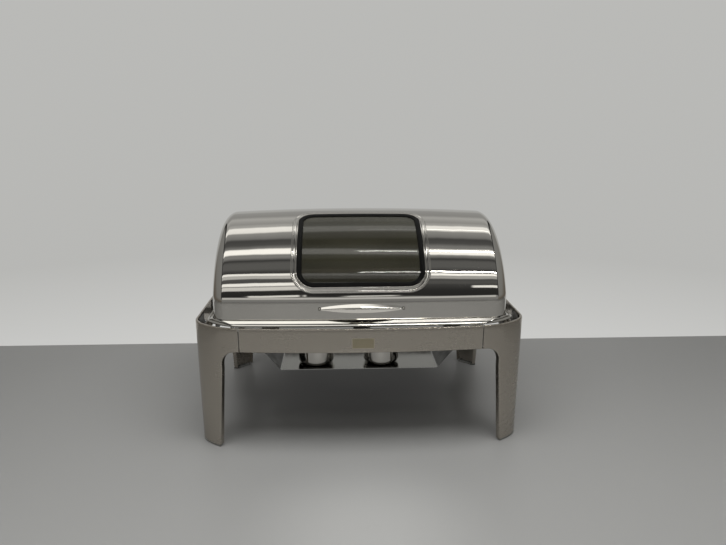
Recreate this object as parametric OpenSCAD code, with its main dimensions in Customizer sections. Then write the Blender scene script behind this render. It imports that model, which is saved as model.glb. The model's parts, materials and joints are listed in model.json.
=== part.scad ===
// Roll top chafing dish: four-legged stand, rolling half-cylinder lid, water pan, food pan, fuel shelf.
// X is the length, Y the depth (front is -Y), Z is up. The origin is on the floor below the centre.

/* [Stand] */
// Length of the stand over the outer faces of the side rails
stand_w = 640; // [640:1:650]
// Depth of the stand over the crowns of the front and rear rails
stand_d = 460; // [460:1:470]
// Height of the stand's top edge
stand_h = 250; // [250:1:250]
// Height of the rails
rail_h = 47; // [44:1:48]
// Thickness of the stand's sheet
sheet = 1.5; // [1.2:0.1:1.5]
// Distance from the middle of the front to the seam between rail and leg
seam_x = 228; // [224:1:230]
// Distance from the middle of a side to the seam between rail and leg
seam_y = 120; // [112:1:124]
// Width of the gap at each seam
seam_gap = 0.5; // [0.4:0.1:1]

/* [Legs] */
// Half width of the space between the front legs at the floor
leg_foot_x = 277; // [272:1:280]
// Half width of the space between the front legs below the rail
leg_top_x = 264; // [258:1:266]
// Half width of the space between a front and a rear leg at the floor
leg_foot_y = 170; // [164:1:174]
// Half width of the space between a front and a rear leg below the rail
leg_top_y = 158; // [152:1:162]
// Radius where a leg blends into its rail
leg_fillet = 28; // [20:1:32]
// Width of the return flange along the inner edges of rails and legs
return_w = 9; // [6:1:9]

/* [Badge] */
// Width of the blank badge plate
badge_w = 42; // [30:1:60]
// Height of the blank badge plate
badge_h = 21; // [12:1:24]
// Place of the badge along the front rail
badge_x = 2; // [-100:1:100]
// Height of the badge's middle
badge_z = 222; // [220:1:230]
// Thickness of the badge plate, which is also the depth of its recess
badge_t = 0.5; // [0.3:0.1:0.8]

/* [Lid] */
// Radius of the lid's arch at its middle
lid_r = 216; // [216:1:217]
// Height of the arch's centre
arch_z = 223; // [222:1:223]
// Height of the lid's lower edge
lid_bottom = 256; // [256:1:257]
// Height where the flat skirt meets the arch
skirt_top = 296; // [294:1:298]
// Half length of the lid
lid_half = 281; // [281:1:281]
// Radius of the lid's rounded ends
lid_end_r = 24; // [20:1:30]
// Radius of the slight bow along the lid
lid_bow_r = 5330; // [5000:10:6000]
// Thickness of the lid's sheet
lid_sheet = 1.2; // [1:0.1:1.2]
// Height of the roll axis
pivot_z = 262; // [262:1:262]

/* [Window] */
// Half width of the window over its gasket
window_half = 121; // [110:1:124]
// Angle up the arch where the gasket starts
window_low = 26.8; // [26:0.2:30]
// Angle up the arch where the gasket ends
window_high = 77.6; // [70:0.2:78]
// Corner radius of the gasket's outline
window_r = 32; // [28:1:36]
// Width of the bezel
bezel_w = 12; // [8:1:12]

/* [Pans] */
// Length of the food pan over its rim
pan_l = 530; // [530:1:530]
// Width of the food pan over its rim
pan_w = 325; // [325:1:325]
// Depth of the food pan
food_depth = 65; // [40:1:65]
// Depth of the water pan
water_depth = 74; // [74:1:78]

/* [Fuel] */
// Height of the fuel shelf
shelf_z = 112; // [108:1:116]
// Half length of the shelf's flat floor
shelf_half = 166; // [160:1:168]
// Diameter of a fuel cup
cup_d = 78; // [74:1:80]
// Height of a fuel cup
cup_h = 46; // [40:1:48]
// Place of the left cup along the stand
cup_left_x = -92; // [-96:1:-60]
// Place of the right cup along the stand
cup_right_x = 48; // [48:1:80]
// Place of both cups across the stand
cup_y = -52; // [-54:1:-40]

/* [Hidden] */
$fn = 64;
eps = 0.01;
big = 1000;

// stand outline: a slow bow, a wide arc and a tight arc, then a straight side
bow_r = 2600;
corner_r = 130;
corner_turn = 42;
rail_bottom = stand_h - rail_h;
hem_w = 4.5;
guard_h = 4;
guard_wall = 0.8;
splice_w = 40;
splice_h = 34;
stud_r = 2.5;
splice_z = rail_bottom + rail_h / 2;
// space left behind a flat nut on the curved wall
nut_gap = 0.3;

// deck
deck_z = 252;
deck_t = 1.5;
deck_top = deck_z + deck_t;
deck_w = 591;
deck_d = 442;
deck_seam = 216;
deck_bow_r = 4666;
deck_corner_r = 110;
deck_end_y = -26;
bead_w = 6.5;
bead_top = 258.6;
roll_w = 4;
roll_top = 255.5;
roll_bottom = 250.5;
arm_in = 257;
arm_out = 274.3;
deck_rear = 168;
deck_rear_r = 24.3;
lip_depth = 12;
bumper_x = 236;
bumper_y = -195.8;
bumper_r = 3.2;
bumper_stem_r = 2;
well_l = 2 * arm_in;
well_w = 305;
well_r = 34;
lip_half = arm_out - deck_rear_r;

// lid, pivot stack (distances from the middle, outwards along X)
rest_gap = 0.4;
lid_inner_end = lid_half - lid_sheet;
half_skirt = sqrt(pow(lid_r, 2) - pow(skirt_top - arch_z, 2));
hub_t = 2;
hub_in = lid_inner_end - hub_t;
hub_r = 24;
hub_top = 300;
bar_out = 276;
bar_in = bar_out - sheet;
bar_bottom = 232;
bar_rear = deck_rear - deck_rear_r;
bar_front = -186;
washer_t = 1.4;
bracket_in = lid_half + 2.1;
bracket_t = 2;
bracket_half = 20;
bracket_low = 214;
pin_r = 4;
pin_hole_r = 4.05;
bush_r = 5.95;
bush_hole_r = 6;
bush_bore_r = 4.06;
bush_out = lid_half + 0.5;
notch_r = 8;
washer_r = 9;
stop_r = 2.5;
stop_at = 16;
stop_slot_r = 2.8;
stop_slot_turn = 90;
stop_slot_margin = 1.5;
rivet_r = 2;
rivet_spots = [[-15, 280], [15, 280], [-15, 294], [15, 294]];

// window layers, as distances from the arch's centre
glass_in = 211.6;
glass_out = 214.6;
glass_half = window_half - 3;
gasket_in = 210.6;
gasket_out = 217.4;
gasket_w = 9;
bezel_out = 218.2;
retainer_in = 212.8;
window_mid = (window_low + window_high) / 2;
window_span = lid_r * 2 * sin((window_high - window_low) / 2);

// handle
handle_half = 78;
handle_reach = 14;
handle_z = 281;
handle_t = 10;
handle_roof = 2.5;
stud_x = 74;

// pans
pan_gap = 0.2;
pan_wall = 1;
water_rim_z = deck_top + pan_gap;
food_rim_z = water_rim_z + pan_wall + pan_gap;

// fuel
shelf_t = 1.2;
shelf_front = -96;
shelf_rear = 76;
wing_x = 197;
wing_z = 151;
wing_flange = 18;
hanger_front = -50;
hanger_rear = 20;
cup_wall = 1.2;
cup_z = shelf_z + shelf_t + 0.2;
cup_top = cup_z + cup_h;
cup_lip = 2.5;
cover_t = 1.2;
cover_hinge_r = cup_d / 2 + 5;
cover_pin_r = 2;

function arc(c, r, a0, a1, n) = [for (i = [0:n]) let (a = a0 + (a1 - a0) * i / n) c + r * [sin(a), -cos(a)]];
function blend_r(w, seam, bow, r1, turn) =
    (w / 2 - seam - r1 * (sin(turn) - seam / bow)) / (1 - sin(turn));

// a quarter of an outline, from the middle of the front to the middle of the right side
function quarter(w, d, seam, bow, r1, turn, inset) =
    let (a1 = asin(seam / bow), r2 = blend_r(w, seam, bow, r1, turn))
    let (c0 = [0, bow - d / 2], c1 = c0 + (bow - r1) * [sin(a1), -cos(a1)])
    let (c2 = c1 + (r1 - r2) * [sin(turn), -cos(turn)])
    concat(
        arc(c0, bow - inset, 0, a1, 6),
        [for (p = arc(c1, r1 - inset, a1, turn, 6)) if (p[0] > c0[0] + (bow - inset) * sin(a1) + eps) p],
        [for (p = arc(c2, r2 - inset, turn, 90, 7)) if (p[0] > (c1 + (r1 - inset) * [sin(turn), 0])[0] + eps) p]
    );
function mirrored(q) = concat(
    q,
    [for (i = [len(q) - 1:-1:0]) [q[i][0], -q[i][1]]],
    [for (i = [1:len(q) - 1]) [-q[i][0], -q[i][1]]],
    [for (i = [len(q) - 1:-1:1]) [-q[i][0], q[i][1]]]
);
function stand_outline(inset) =
    mirrored(quarter(stand_w, stand_d, seam_x, bow_r, corner_r, corner_turn, inset));
function deck_outline(inset) =
    mirrored(quarter(deck_w, deck_d, deck_seam, deck_bow_r, deck_corner_r, corner_turn, inset));

// a quarter of the lid's lengthwise profile: X along the lid, Y the distance from the arch's centre
function lid_quarter(inset) =
    [for (p = quarter(2 * lid_half, 2 * lid_r, lid_half - lid_end_r, lid_bow_r, lid_end_r, 45, inset)) [p[0], -p[1]]];
// the same stations cut at the height where skirt and arch meet
function skirt_quarter(inset) = [
    for (p = lid_quarter(inset)) [p[0], -sqrt(max(0, pow(p[1], 2) - pow(skirt_top - arch_z, 2)))]
];
function bumped(q, out) = [for (p = q) [p[0] + (p[0] > lid_half / 2 ? out : 0), p[1] - out]];

module ring(z0, z1, inset0, inset1) {
    translate([0, 0, z0]) linear_extrude(z1 - z0) difference() {
        polygon(stand_outline(inset0));
        polygon(stand_outline(inset1));
    }
}
module box(x0, x1, y0, y1, z0, z1) {
    translate([x0, y0, z0]) cube([x1 - x0, y1 - y0, z1 - z0]);
}
module rounded(l, w, r) {
    square([l - 2 * r, w], center = true);
    square([l, w - 2 * r], center = true);
    for (sx = [-1, 1], sy = [-1, 1]) translate([sx * (l / 2 - r), sy * (w / 2 - r)]) circle(r);
}
// a rod along X between two distances from the middle, on the given side
module rod_x(side, x0, x1, y, z, r) {
    translate([side > 0 ? x0 : -x1, y, z]) rotate([0, 90, 0]) cylinder(r = r, h = x1 - x0);
}
module slab_x(side, x0, x1, y0, y1, z0, z1) {
    if (side > 0) box(x0, x1, y0, y1, z0, z1);
    else box(-x1, -x0, y0, y1, z0, z1);
}

// ---------------------------------------------------------------- stand
function opening_half(foot, top, rise, fillet) = concat(
    [[foot, -1], [top, rise * 0.81]],
    [for (a = [0:15:90]) [top - fillet + fillet * cos(a), rise - fillet + fillet * sin(a)]]
);
module opening_outline(foot, top, grow) {
    half = opening_half(foot + grow, top + grow, rail_bottom + grow, leg_fillet - grow);
    polygon(concat(half, [for (i = [len(half) - 1:-1:0]) [-half[i][0], half[i][1]]]));
}
module opening_front(grow) {
    translate([0, big, 0]) rotate([90, 0, 0]) linear_extrude(2 * big)
        opening_outline(leg_foot_x, leg_top_x, grow);
}
module opening_side(grow) {
    translate([-big, 0, 0]) rotate([90, 0, 90]) linear_extrude(2 * big)
        opening_outline(leg_foot_y, leg_top_y, grow);
}
module leg(sx, sy) {
    gx = seam_x + seam_gap / 2;
    gy = seam_y + seam_gap / 2;
    mirror([sx < 0 ? 1 : 0, 0, 0]) mirror([0, sy > 0 ? 1 : 0, 0]) {
        difference() {
            union() {
                intersection() {
                    ring(guard_h, stand_h, 0, sheet);
                    box(gx, big, -big, -gy, 0, big);
                }
                intersection() {
                    ring(stand_h - sheet, stand_h, 0, hem_w);
                    box(gx, big, -big, -gy, 0, big);
                }
            }
            opening_front(0);
            opening_side(0);
        }
        // return flange along the front wing's inner edge
        intersection() {
            ring(guard_h, rail_bottom + 2 * sheet, 0.2, sheet + return_w);
            box(gx, 290, -big, -gy, 0, big);
            difference() {
                opening_front(sheet);
                opening_front(0);
            }
        }
        // return flange along the side wing's inner edge
        intersection() {
            ring(guard_h, rail_bottom + 2 * sheet, 0.2, sheet + return_w);
            box(300, big, -180, -gy, 0, big);
            difference() {
                opening_side(sheet);
                opening_side(0);
            }
        }
    }
}
module leg_front_left() { color("gainsboro") leg(-1, -1); }
module leg_front_right() { color("gainsboro") leg(1, -1); }
module leg_rear_left() { color("gainsboro") leg(-1, 1); }
module leg_rear_right() { color("gainsboro") leg(1, 1); }

module rail_section() {
    ring(rail_bottom, stand_h, 0, sheet);
    ring(rail_bottom, rail_bottom + sheet, 0, sheet + return_w);
    ring(stand_h - sheet, stand_h, 0, hem_w);
}
module rail_across(sy) {
    gx = seam_x - seam_gap / 2;
    intersection() {
        rail_section();
        box(-gx, gx, sy > 0 ? 0 : -big, sy > 0 ? big : 0, 0, big);
    }
}
module rail_along(sx) {
    gy = seam_y - seam_gap / 2;
    intersection() {
        rail_section();
        box(sx > 0 ? 0 : -big, sx > 0 ? big : 0, -gy, gy, 0, big);
    }
}
// the badge's outline as a block that runs forward from the middle of the stand
module badge_block(grow) {
    translate([badge_x, 0, badge_z]) rotate([90, 0, 0]) linear_extrude(big)
        rounded(badge_w + 2 * grow, badge_h + 2 * grow, 2 + grow);
}
module rail_front() {
    color("silver") difference() {
        rail_across(-1);
        intersection() {
            badge_block(0.05);
            ring(0, big, -1, badge_t);
        }
    }
}
module rail_rear() { color("silver") rail_across(1); }
module rail_left() { color("silver") rail_along(-1); }
module rail_right() { color("silver") rail_along(1); }

// places of the splice studs in the front right corner: [x, y, heading of the wall]
function wall_point(inset) =
    let (a1 = asin(seam_x / bow_r), c0 = [0, bow_r - stand_d / 2])
    let (c1 = c0 + (bow_r - corner_r) * [sin(a1), -cos(a1)], back = asin((seam_x - 12) / bow_r))
    let (on = a1 + 5.3)
    [
        [c0[0] + (bow_r - inset) * sin(back), c0[1] - (bow_r - inset) * cos(back), back],
        [c1[0] + (corner_r - inset) * sin(on), c1[1] - (corner_r - inset) * cos(on), on],
        [stand_w / 2 - inset, -seam_y - 12, 90],
        [stand_w / 2 - inset, -seam_y + 12, 90]
    ];
module corners() {
    for (sx = [0, 1], sy = [0, 1]) mirror([sx, 0, 0]) mirror([0, sy, 0]) children();
}
module splice_plates() {
    color("silver") corners() difference() {
        intersection() {
            ring(splice_z - splice_h / 2, splice_z + splice_h / 2, sheet, 2 * sheet);
            union() {
                box(seam_x - splice_w / 2, seam_x + splice_w / 2, -big, -190, 0, big);
                box(290, big, -seam_y - splice_w / 2, -seam_y + splice_w / 2, 0, big);
            }
        }
        for (p = wall_point(sheet)) translate([p[0], p[1], splice_z]) rotate([90, 0, p[2]])
            cylinder(r = stud_r + 0.3, h = 12, center = true);
    }
}
module splice_nuts() {
    color("dimgray") corners() for (p = wall_point(2 * sheet + nut_gap))
        translate([p[0], p[1], splice_z]) rotate([-90, 0, p[2]]) {
            cylinder(r = 4.5, h = 3.5, $fn = 6);
            translate([0, 0, -sheet]) cylinder(r = stud_r, h = sheet + 5);
        }
}
module foot_guards() {
    color("whitesmoke") corners() difference() {
        intersection() {
            ring(0, guard_h, 0, sheet + return_w);
            box(leg_foot_x, big, -big, -leg_foot_y, 0, big);
        }
        intersection() {
            ring(sheet, big, sheet + guard_wall, big / 10);
            box(leg_foot_x + sheet + guard_wall, big, -big, -leg_foot_y - sheet - guard_wall, 0, big);
        }
    }
}
module badge_plate() {
    color("tan") intersection() {
        badge_block(0);
        ring(0, big, 0, badge_t);
    }
}

// ---------------------------------------------------------------- deck
module deck_half() {
    box(-big, big, -big, deck_end_y, 0, big);
}
module lid_print(out) {
    polygon(mirrored(bumped(skirt_quarter(0), out)));
}
module pan_deck() {
    color("silver") difference() {
        union() {
            intersection() {
                translate([0, 0, deck_z]) linear_extrude(deck_t) polygon(deck_outline(0));
                deck_half();
            }
            // rolled outer edge
            intersection() {
                translate([0, 0, roll_bottom]) linear_extrude(roll_top - roll_bottom) difference() {
                    polygon(deck_outline(0));
                    polygon(deck_outline(roll_w));
                }
                deck_half();
            }
            // raised bead that the lid's edge sits inside
            intersection() {
                translate([0, 0, deck_z]) linear_extrude(bead_top - deck_z) difference() {
                    lid_print(1.5 + bead_w);
                    lid_print(1.5);
                }
                deck_half();
            }
            // arms that carry the rear of the pans, with rounded rear corners that the rolling lid clears
            box(-arm_out, arm_out, deck_end_y - 1, deck_rear - deck_rear_r, deck_z, deck_top);
            box(-lip_half, lip_half, 0, deck_rear, deck_z, deck_top);
            for (sx = [-1, 1]) translate([sx * lip_half, deck_rear - deck_rear_r, deck_z])
                cylinder(r = deck_rear_r, h = deck_t);
            box(-lip_half, lip_half, deck_rear - sheet, deck_rear, deck_z - lip_depth, deck_top);
        }
        translate([0, 0, deck_z - 20]) linear_extrude(40) rounded(well_l, well_w, well_r);
        for (sx = [-1, 1]) translate([sx * bumper_x, bumper_y, deck_z - 5]) cylinder(r = bumper_stem_r, h = 20);
    }
}
module deck_brackets() {
    color("gray") for (x = [-170, 0, 170]) {
        intersection() {
            ring(bracket_low, roll_bottom - 4.5, sheet, 2 * sheet);
            box(x - 16, x + 16, -big, -190, 0, big);
        }
        intersection() {
            translate([0, 0, roll_bottom - 6]) linear_extrude(sheet) polygon(stand_outline(sheet));
            box(x - 16, x + 16, -big, -196, 0, big);
        }
        box(x - 12, x + 12, -212, -196, roll_bottom - 6, deck_z);
    }
}
module side_bar(side) {
    color("lightgray") difference() {
        union() {
            slab_x(side, bar_in, bar_out, bar_front, bar_rear, bar_bottom, deck_z);
            rod_x(side, bar_in, bar_out, 0, pivot_z, 12);
            slab_x(side, bar_in, bar_out, -12, 12, bar_bottom, pivot_z);
        }
        rod_x(side, bar_in - 1, bar_out + 1, 0, pivot_z, pin_hole_r);
        rod_x(side, bar_in - 1, bar_out + 1, 0, pivot_z - stop_at, stop_r);
    }
}
module side_bar_left() { side_bar(-1); }
module side_bar_right() { side_bar(1); }

module pivot_bracket(side) {
    wall = stand_w / 2 - sheet;
    color("gray") difference() {
        union() {
            rod_x(side, bracket_in, bracket_in + bracket_t, 0, pivot_z, 14);
            slab_x(side, bracket_in, bracket_in + bracket_t, -14, 14, bracket_low, pivot_z);
            slab_x(side, bracket_in, wall, -bracket_half, bracket_half, bracket_low, bracket_low + bracket_t);
            slab_x(side, wall - bracket_t, wall, -bracket_half, bracket_half, bracket_low, 244);
        }
        rod_x(side, bracket_in - 1, bracket_in + bracket_t + 1, 0, pivot_z, pin_hole_r);
        for (y = [-11, 11]) rod_x(side, wall - bracket_t - 1, wall + 1, y, 232, 2.2);
    }
}
module pivot_bracket_left() { pivot_bracket(-1); }
module pivot_bracket_right() { pivot_bracket(1); }
module bracket_screws() {
    wall = stand_w / 2 - sheet;
    color("dimgray") for (side = [-1, 1], y = [-11, 11]) {
        rod_x(side, wall - bracket_t - 2.4, wall - bracket_t, y, 232, 3.8);
        rod_x(side, wall - bracket_t - 1, wall, y, 232, 2);
    }
}
module pivot_pin(side) {
    color("silver") {
        rod_x(side, 269, 286, 0, pivot_z, pin_r);
        rod_x(side, bracket_in + bracket_t, bracket_in + bracket_t + 4, 0, pivot_z, 7);
    }
}
module pivot_pin_left() { pivot_pin(-1); }
module pivot_pin_right() { pivot_pin(1); }
module pivot_nuts() {
    color("dimgray") for (side = [-1, 1]) difference() {
        translate([side * (bar_in - 2.3), 0, pivot_z]) rotate([0, 90, 0])
            cylinder(r = 7, h = 4.6, center = true, $fn = 6);
        rod_x(side, 265, bar_in + 1, 0, pivot_z, pin_r);
    }
}
module pivot_washers() {
    color("ivory") for (side = [-1, 1]) {
        difference() {
            rod_x(side, bar_out, bar_out + washer_t, 0, pivot_z, washer_r);
            rod_x(side, bar_out - 1, bar_out + 3, 0, pivot_z, pin_hole_r);
        }
        difference() {
            rod_x(side, bracket_in - washer_t, bracket_in, 0, pivot_z, washer_r);
            rod_x(side, bracket_in - 3, bracket_in + 1, 0, pivot_z, pin_hole_r);
        }
    }
}
module stop_pins() {
    color("dimgray") for (side = [-1, 1])
        rod_x(side, bar_in, lid_inner_end - 0.4, 0, pivot_z - stop_at, stop_r);
}
module lid_bumpers() {
    color("dimgray") for (sx = [-1, 1]) translate([sx * bumper_x, bumper_y, 0]) {
        translate([0, 0, deck_top]) cylinder(r = bumper_r, h = lid_bottom - rest_gap - deck_top);
        translate([0, 0, deck_z - 2]) cylinder(r = bumper_stem_r, h = 4);
    }
}

// ---------------------------------------------------------------- fuel shelf
function shelf_path(t) = [
    [-wing_x - wing_flange, wing_z + t], [-wing_x - wing_flange, wing_z], [-wing_x, wing_z],
    [-shelf_half, shelf_z], [shelf_half, shelf_z], [wing_x, wing_z], [wing_x + wing_flange, wing_z],
    [wing_x + wing_flange, wing_z + t], [wing_x - 0.6 * t, wing_z + t], [shelf_half - 0.6 * t, shelf_z + t],
    [-shelf_half + 0.6 * t, shelf_z + t], [-wing_x + 0.6 * t, wing_z + t]
];
module fuel_shelf() {
    color("gray") difference() {
        translate([0, shelf_rear, 0]) rotate([90, 0, 0]) linear_extrude(shelf_rear - shelf_front)
            polygon(shelf_path(shelf_t));
        for (sx = [-1, 1], y = [-30, 0]) translate([sx * (wing_x + 10), y, 140]) cylinder(r = 2.2, h = 20);
    }
}
module shelf_hanger(side) {
    low = wing_z - sheet;
    color("lightgray") difference() {
        union() {
            slab_x(side, bar_in - sheet, bar_in, hanger_front, hanger_rear, low, deck_z - 2);
            slab_x(side, wing_x + 3, bar_in, hanger_front, hanger_rear, low, wing_z);
        }
        for (y = [-30, 0]) translate([side * (wing_x + 10), y, 140]) cylinder(r = 2.2, h = 20);
        for (y = [-36, 16]) rod_x(side, bar_in - 3, bar_in + 1, y, 242, 2.2);
        rod_x(side, bar_in - 3, bar_in + 1, 0, pivot_z - stop_at, 5);
    }
}
module shelf_hanger_left() { shelf_hanger(-1); }
module shelf_hanger_right() { shelf_hanger(1); }
module shelf_screws() {
    color("dimgray") for (sx = [-1, 1], y = [-30, 0]) translate([sx * (wing_x + 10), y, 0]) {
        translate([0, 0, wing_z + shelf_t]) cylinder(r = 4, h = 2.2);
        translate([0, 0, wing_z - sheet - 2]) cylinder(r = 2, h = 2 + sheet + shelf_t + 1);
    }
}
module hanger_screws() {
    color("dimgray") for (side = [-1, 1], y = [-36, 16]) {
        rod_x(side, bar_in - sheet - 2, bar_in - sheet, y, 242, 3.8);
        rod_x(side, bar_in - sheet - 1, bar_in, y, 242, 2);
    }
}

// ---------------------------------------------------------------- pans
// a sheet tray with a flat rim: outside body l x w at its top, rim size rl x rw
module tray(top, depth, l, w, r, rl, rw, rr) {
    floor_z = top - depth;
    difference() {
        union() {
            translate([0, 0, floor_z]) linear_extrude(depth - 0.5) rounded(l, w, r);
            translate([0, 0, top - pan_wall]) linear_extrude(pan_wall) rounded(rl, rw, rr);
        }
        translate([0, 0, floor_z + pan_wall]) linear_extrude(depth) rounded(l - 2 * pan_wall, w - 2 * pan_wall, r - pan_wall);
    }
}
module water_pan() {
    color("silver") tray(water_rim_z + pan_wall, water_depth, 510, 302, 32, 536, 331, 24);
}
module food_pan() {
    color("gainsboro") tray(food_rim_z + pan_wall, food_depth, 500, 293, 36, pan_l, pan_w, 22);
}

// ---------------------------------------------------------------- lid
module lid_solid(inset) {
    q = lid_quarter(inset);
    profile = concat([[0, 0]], [for (p = q) [p[1], p[0]]], [[0, q[len(q) - 1][0]]]);
    intersection() {
        translate([0, 0, arch_z]) rotate([0, 90, 0]) rotate_extrude($fn = 144)
            polygon(concat(profile, [for (i = [len(profile) - 1:-1:1]) [profile[i][0], -profile[i][1]]]));
        box(-big, big, -big, big, skirt_top, big);
    }
    low = inset > 0 ? lid_bottom - 1 : lid_bottom;
    translate([0, 0, low]) linear_extrude(skirt_top - low + eps) polygon(mirrored(skirt_quarter(inset)));
}
// a rounded block that stands on the arch over the window, grown by the given width
module window_block(grow) {
    span = window_span + 2 * grow;
    translate([0, 0, arch_z]) rotate([90 - window_mid, 0, 0]) translate([0, 0, 150])
        linear_extrude(100) rounded(2 * (window_half + grow), span, window_r + grow);
}
module arch_band(r0, r1) {
    translate([-big / 2, 0, arch_z]) rotate([0, 90, 0]) difference() {
        cylinder(r = r1, h = big, $fn = 144);
        translate([0, 0, -1]) cylinder(r = r0, h = big + 2, $fn = 144);
    }
}
module window_frame(r0, r1, grow_in, grow_out) {
    intersection() {
        arch_band(r0, r1);
        difference() {
            window_block(grow_out);
            window_block(grow_in);
        }
    }
}
module lid_shell() {
    color("silver") difference() {
        lid_solid(0);
        lid_solid(lid_sheet);
        window_block(0.2);
        for (side = [-1, 1]) {
            rod_x(side, lid_inner_end - 2, lid_half + 2, 0, pivot_z, notch_r);
            slab_x(side, lid_inner_end - 2, lid_half + 2, -notch_r, notch_r, lid_bottom - 2, pivot_z);
            for (p = rivet_spots) rod_x(side, lid_inner_end - 2, lid_half + 2, p[0], p[1], rivet_r + 0.05);
        }
        for (sx = [-1, 1]) translate([sx * stud_x, -half_skirt, handle_z]) rotate([90, 0, 0])
            cylinder(r = 2.1, h = 20, center = true);
    }
}
module window_glass() {
    color("darkolivegreen", 0.6) intersection() {
        arch_band(glass_in, glass_out);
        window_block(-3);
    }
}
module window_gasket() {
    color("black") difference() {
        window_frame(gasket_in, gasket_out, -gasket_w, 0);
        intersection() {
            arch_band(glass_in - 0.05, glass_out + 0.05);
            window_block(-2.9);
        }
    }
}
module window_bezel() { color("gainsboro") window_frame(lid_r + 0.02, bezel_out, 0.3, bezel_w); }
module window_retainer() { color("gray") window_frame(retainer_in - 1, retainer_in, 0.3, bezel_w - 2); }

module lid_handle() {
    // a crescent that bows out from the lid, hollow from below and closed on top
    out_r = (pow(handle_half, 2) + pow(handle_reach, 2)) / (2 * handle_reach);
    in_half = handle_half - 8;
    in_reach = 9;
    in_r = (pow(in_half, 2) + pow(in_reach, 2)) / (2 * in_reach);
    face = -half_skirt - 1.2;
    color("silver") translate([0, face, handle_z - handle_t / 2]) intersection() {
        difference() {
            translate([0, out_r - handle_reach, 0]) cylinder(r = out_r, h = handle_t, $fn = 180);
            translate([0, in_r - in_reach, -1]) cylinder(r = in_r, h = handle_t - handle_roof + 1, $fn = 180);
        }
        box(-handle_half, handle_half, -40, 0, -1, 20);
    }
}
module handle_studs() {
    color("silver") for (sx = [-1, 1]) translate([sx * stud_x, -half_skirt + 5, handle_z]) rotate([90, 0, 0])
        cylinder(r = 2, h = 6.1);
}
module handle_nuts() {
    color("dimgray") for (sx = [-1, 1]) translate([sx * stud_x, -half_skirt + 2.3, handle_z]) rotate([-90, 0, 0])
        difference() {
            cylinder(r = 4, h = 3, $fn = 6);
            translate([0, 0, -1]) cylinder(r = 2, h = 5);
        }
}
module hub_plate(side) {
    color("gray") difference() {
        union() {
            rod_x(side, hub_in, lid_inner_end, 0, pivot_z, hub_r);
            slab_x(side, hub_in, lid_inner_end, -hub_r, hub_r, pivot_z, hub_top);
        }
        rod_x(side, hub_in - 1, lid_inner_end + 1, 0, pivot_z, bush_hole_r);
        for (p = rivet_spots) rod_x(side, hub_in - 1, lid_inner_end + 1, p[0], p[1], rivet_r + 0.05);
        // slot that the stop pin runs in
        intersection() {
            difference() {
                rod_x(side, hub_in - 1, lid_inner_end + 1, 0, pivot_z, stop_at + stop_slot_r);
                rod_x(side, hub_in - 2, lid_inner_end + 2, 0, pivot_z, stop_at - stop_slot_r);
            }
            slab_x(side, hub_in - 1, lid_inner_end + 1, 0, big, 0, pivot_z);
        }
        for (a = [0, stop_slot_turn]) rod_x(side, hub_in - 1, lid_inner_end + 1,
            stop_at * sin(a), pivot_z - stop_at * cos(a), stop_slot_r);
    }
}
module hub_plate_left() { hub_plate(-1); }
module hub_plate_right() { hub_plate(1); }
module hub_bush(side) {
    color("ivory") difference() {
        rod_x(side, hub_in, bush_out, 0, pivot_z, bush_r);
        rod_x(side, hub_in - 1, bush_out + 1, 0, pivot_z, bush_bore_r);
    }
}
module hub_bush_left() { hub_bush(-1); }
module hub_bush_right() { hub_bush(1); }
module hub_rivets() {
    color("silver") for (side = [-1, 1], p = rivet_spots) {
        rod_x(side, hub_in - 0.8, lid_half, p[0], p[1], rivet_r);
        rod_x(side, hub_in - 1.4, hub_in, p[0], p[1], 3.2);
    }
}

// ---------------------------------------------------------------- fuel cups
module fuel_cup(x) {
    r = cup_d / 2;
    round_r = 12;
    side = [for (a = [0:15:90]) [r - round_r + round_r * sin(a), round_r - round_r * cos(a)]];
    inner = [for (a = [90:-15:0]) let (q = round_r - cup_wall)
        [r - round_r + q * sin(a), round_r - q * cos(a)]];
    color("silver") translate([x, cup_y, cup_z]) {
        rotate_extrude($fn = 72) polygon(concat(
            [[0, 0]], side, [[r, cup_h - cup_lip], [r + 2, cup_h - cup_lip], [r + 2, cup_h], [r - cup_wall, cup_h]],
            inner, [[0, cup_wall]]
        ));
        difference() {
            translate([0, r + 5, cup_h - 9]) cylinder(r = 4.5, h = 9);
            translate([0, r + 5, cup_h - 10]) cylinder(r = cover_pin_r + 0.06, h = 12);
            translate([0, 0, cup_h - 20]) cylinder(r = r - 0.4, h = 40);
        }
    }
}
module cover_pin(x) {
    color("dimgray") translate([x, cup_y + cover_hinge_r, 0]) {
        translate([0, 0, cup_top - 11.3]) cylinder(r = cover_pin_r, h = 13);
        translate([0, 0, cup_top - 11.5]) cylinder(r = 4, h = 2);
    }
}
module fuel_cover(x) {
    color("silver") translate([x, cup_y, cup_top + 0.3]) difference() {
        union() {
            cylinder(r = cup_d / 2 + 1, h = cover_t);
            translate([0, cup_d / 2 + 5, 0]) cylinder(r = 6, h = cover_t);
            translate([-6, 20, 0]) cube([12, 24, cover_t]);
        }
        translate([0, cup_d / 2 + 5, -1]) cylinder(r = cover_pin_r + 0.06, h = 5);
        translate([0, -8, -1]) cylinder(r = 2, h = 5);
    }
}
module cover_knob(x) {
    color("dimgray") translate([x, cup_y - 8, cup_top + 0.3]) {
        translate([0, 0, cover_t]) cylinder(r1 = 4.5, r2 = 6.5, h = 7);
        cylinder(r = 2, h = 4);
    }
}
module fuel_cup_left() { fuel_cup(cup_left_x); }
module fuel_cup_right() { fuel_cup(cup_right_x); }
module cover_pin_left() { cover_pin(cup_left_x); }
module cover_pin_right() { cover_pin(cup_right_x); }
module fuel_cover_left() { fuel_cover(cup_left_x); }
module fuel_cover_right() { fuel_cover(cup_right_x); }
module cover_knob_left() { cover_knob(cup_left_x); }
module cover_knob_right() { cover_knob(cup_right_x); }

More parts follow.
